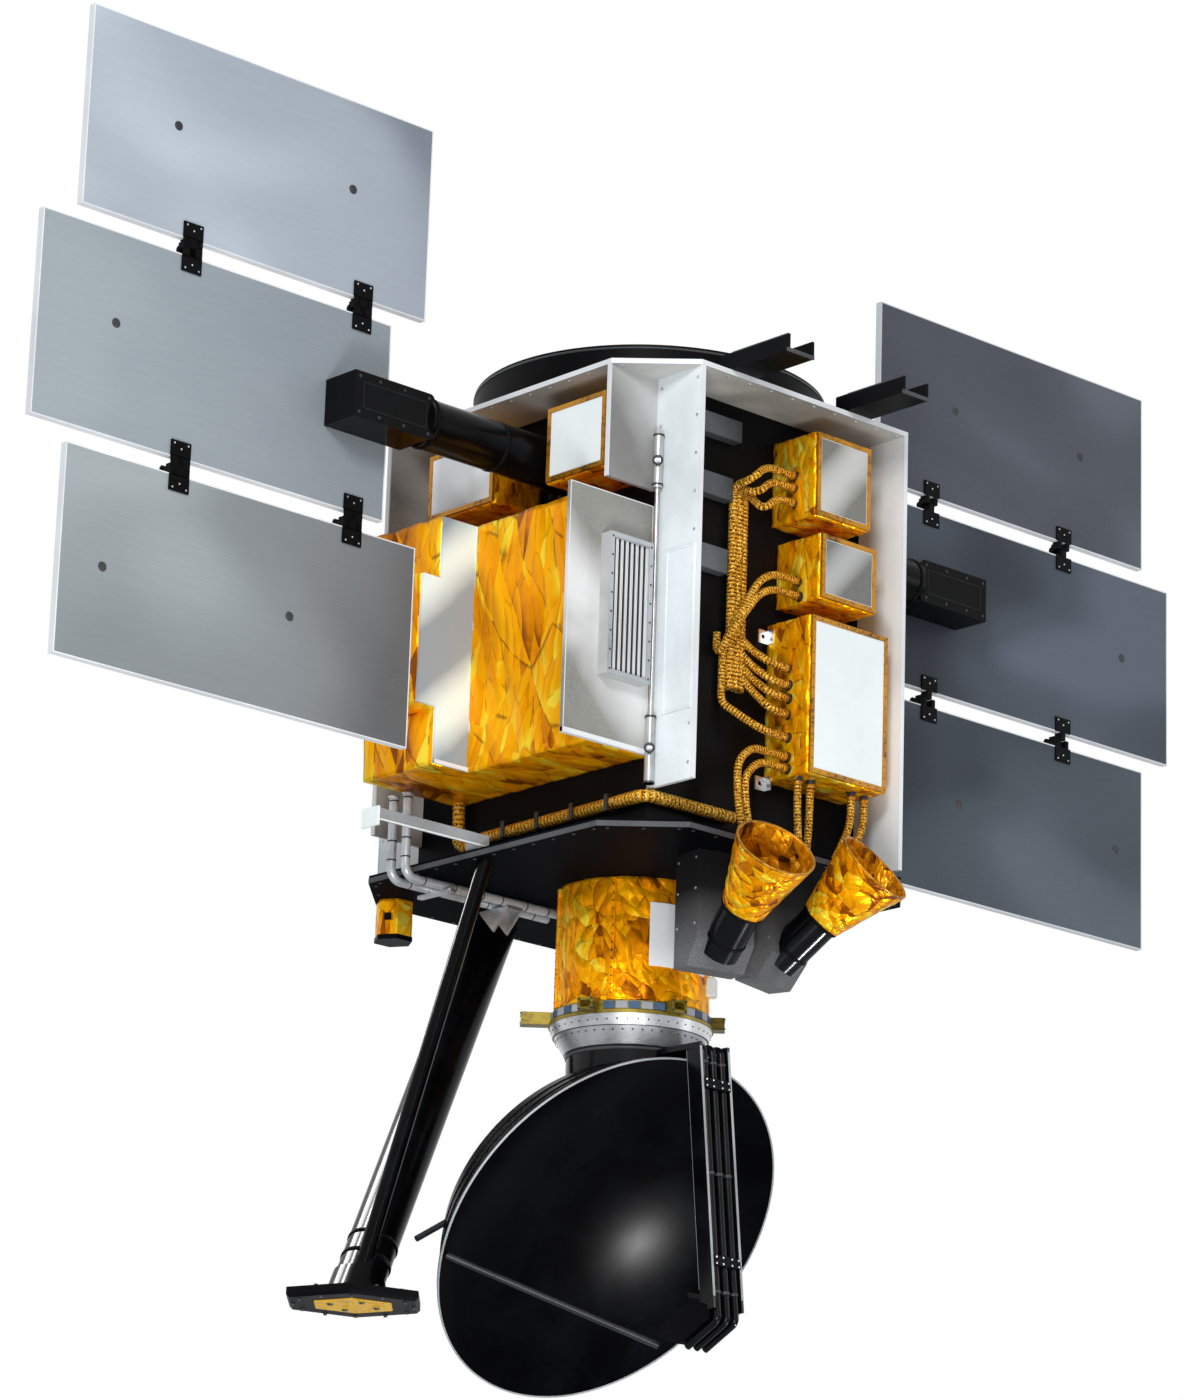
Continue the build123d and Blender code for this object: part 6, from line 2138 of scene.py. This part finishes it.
@dataclass
class Studio:
    """Floor, world, lamps and camera.

    Attributes:
        floor_z: height of the floor, at the camera's feet.
        ambient: strength of the world on the object.
    """

    floor_z: float = -4.62
    ambient: float = 0.46
    camera_place: Point = (-8.46313, -9.23435, -4.54522)
    forward: Point = (0.640309, 0.713308, 0.284949)
    up: Point = (-0.214955, -0.189746, 0.958014)
    lens: float = 128.2

    def build(self) -> None:
        """Builds the surroundings and sets the colour handling."""
        scene = bpy.context.scene
        scene.view_settings.view_transform = "Standard"
        self._world(scene)
        floor = self._floor()
        self._camera(scene)
        for lamp in (
            Lamp("key", (-7.0, -6.5, 3.2), (0.0, 0.0, -0.9), (2.6, 2.6), 430.0),
            Lamp("side", (4.6, -5.2, -1.2), (0.0, 0.0, -1.5), (1.2, 3.0), 45.0),
            Lamp("under", (-3.4, -3.4, -4.3), (0.0, 0.0, -1.2), (1.6, 1.6), 180.0, spares_floor=True),
            Lamp("edge_shine", (-1.35, 2.64, 0.62), (-0.3, 0.45, -1.9), (1.7, 2.4), 620.0, True, 35.5,
                 ("mast_tube", "mast_brace")),
            Lamp("line_shine", (-1.86, 1.35, 1.08), (-0.3, 0.45, -1.9), (0.34, 2.6), 620.0, True, 35.5,
                 ("mast_tube", "mast_brace")),
            Lamp("front_shine", (-3.2, -5.4, -2.6), (0.0, 0.0, -1.6), (0.10, 3.0), 22.0, True),
            Lamp("dish_shine", (1.25, -1.65, -4.40), (0.234, 0.152, -2.177), (0.22, 0.22), 118.0, True),
        ):
            lamp.build(floor)

    def _world(self, scene: bpy.types.Scene) -> None:
        """White to the camera and in reflections, softer on the object."""
        world = bpy.data.worlds.new("surroundings")
        scene.world = world
        world.use_nodes = True
        nodes = Nodes(world.node_tree)
        world.node_tree.nodes.clear()
        path = nodes.add("ShaderNodeLightPath")
        seen = nodes.maths("MAXIMUM", path.outputs["Is Camera Ray"], path.outputs["Is Glossy Ray"])
        seen = nodes.maths("MAXIMUM", seen, path.outputs["Is Transmission Ray"])
        soft = nodes.add("ShaderNodeBackground", {"Color": (0.93, 0.96, 1.0, 1.0), "Strength": self.ambient})
        white = nodes.add("ShaderNodeBackground", {"Color": (1.0, 1.0, 1.0, 1.0), "Strength": 1.0})
        both = nodes.add("ShaderNodeMixShader", {0: seen, 1: soft.outputs[0], 2: white.outputs[0]})
        nodes.add("ShaderNodeOutputWorld", {"Surface": both.outputs[0]})

    def _floor(self) -> bpy.types.Object:
        """Pale floor under the object."""
        floor = Maker()
        floor.spun([(0.001, -0.02), (30.0, -0.02), (30.0, 0.0), (0.001, 0.0)], Vector((0, 0, self.floor_z)),
                   UP, 96)
        mesh = floor.mesh("studio_floor")
        sheet = Sheet("floor_pale")
        slow = sheet.noise(sheet.place, 0.7, 3.0)
        sheet.set(Base_Color=sheet.ramp(slow, [(0.3, (0.86, 0.87, 0.88)), (0.7, (0.91, 0.91, 0.91))]),
                  Roughness=0.9,
                  Specular_IOR_Level=0.0)
        mesh.materials.append(sheet.material)
        stage = bpy.data.objects.new("studio_floor", mesh)
        bpy.context.scene.collection.objects.link(stage)
        return stage

    def _camera(self, scene: bpy.types.Scene) -> None:
        """Camera at the photograph's viewing angle."""
        data = bpy.data.cameras.new("view")
        data.sensor_width = 36.0
        data.lens = self.lens
        data.clip_start, data.clip_end = 0.1, 200.0
        camera = bpy.data.objects.new("view", data)
        ahead = Vector(self.forward).normalized()
        aside = ahead.cross(Vector(self.up)).normalized()
        up = aside.cross(ahead)
        turn = Matrix((aside, up, -ahead)).transposed()
        camera.matrix_world = Matrix.Translation(Vector(self.camera_place)) @ turn.to_4x4()
        scene.collection.objects.link(camera)
        scene.camera = camera


def main() -> None:
    """Builds every sub-assembly in order."""
    logging.basicConfig(level=logging.INFO, format="%(name)s %(message)s")
    Studio().build()
    left = {Level.UPPER: ((-1.643, 0.284), (-1.0835, 0.284)), Level.MIDDLE: ((-1.7952, -0.278),),
            Level.LOWER: ((-1.7911, -0.896), (-1.2179, -0.885))}
    right = {Level.UPPER: ((1.130, 0.278), (1.6505, 0.277)), Level.MIDDLE: ((1.8323, -0.289),),
             Level.LOWER: ((1.1642, -0.866), (1.8082, -0.8635))}
    assemblies = [BusStructure(), EquipmentBoxes(), SteppedBox(), Harness(), CornerRod(), Trackers(),
                  UnderDeck(),
                  Mast(), Drum(), DishAssembly(), Wing(Side.LEFT, left), Wing(Side.RIGHT, right)]
    for assembly in assemblies:
        assembly.build()
        log.info("built %s", type(assembly).__name__)


if __name__ == "__main__":
    main()
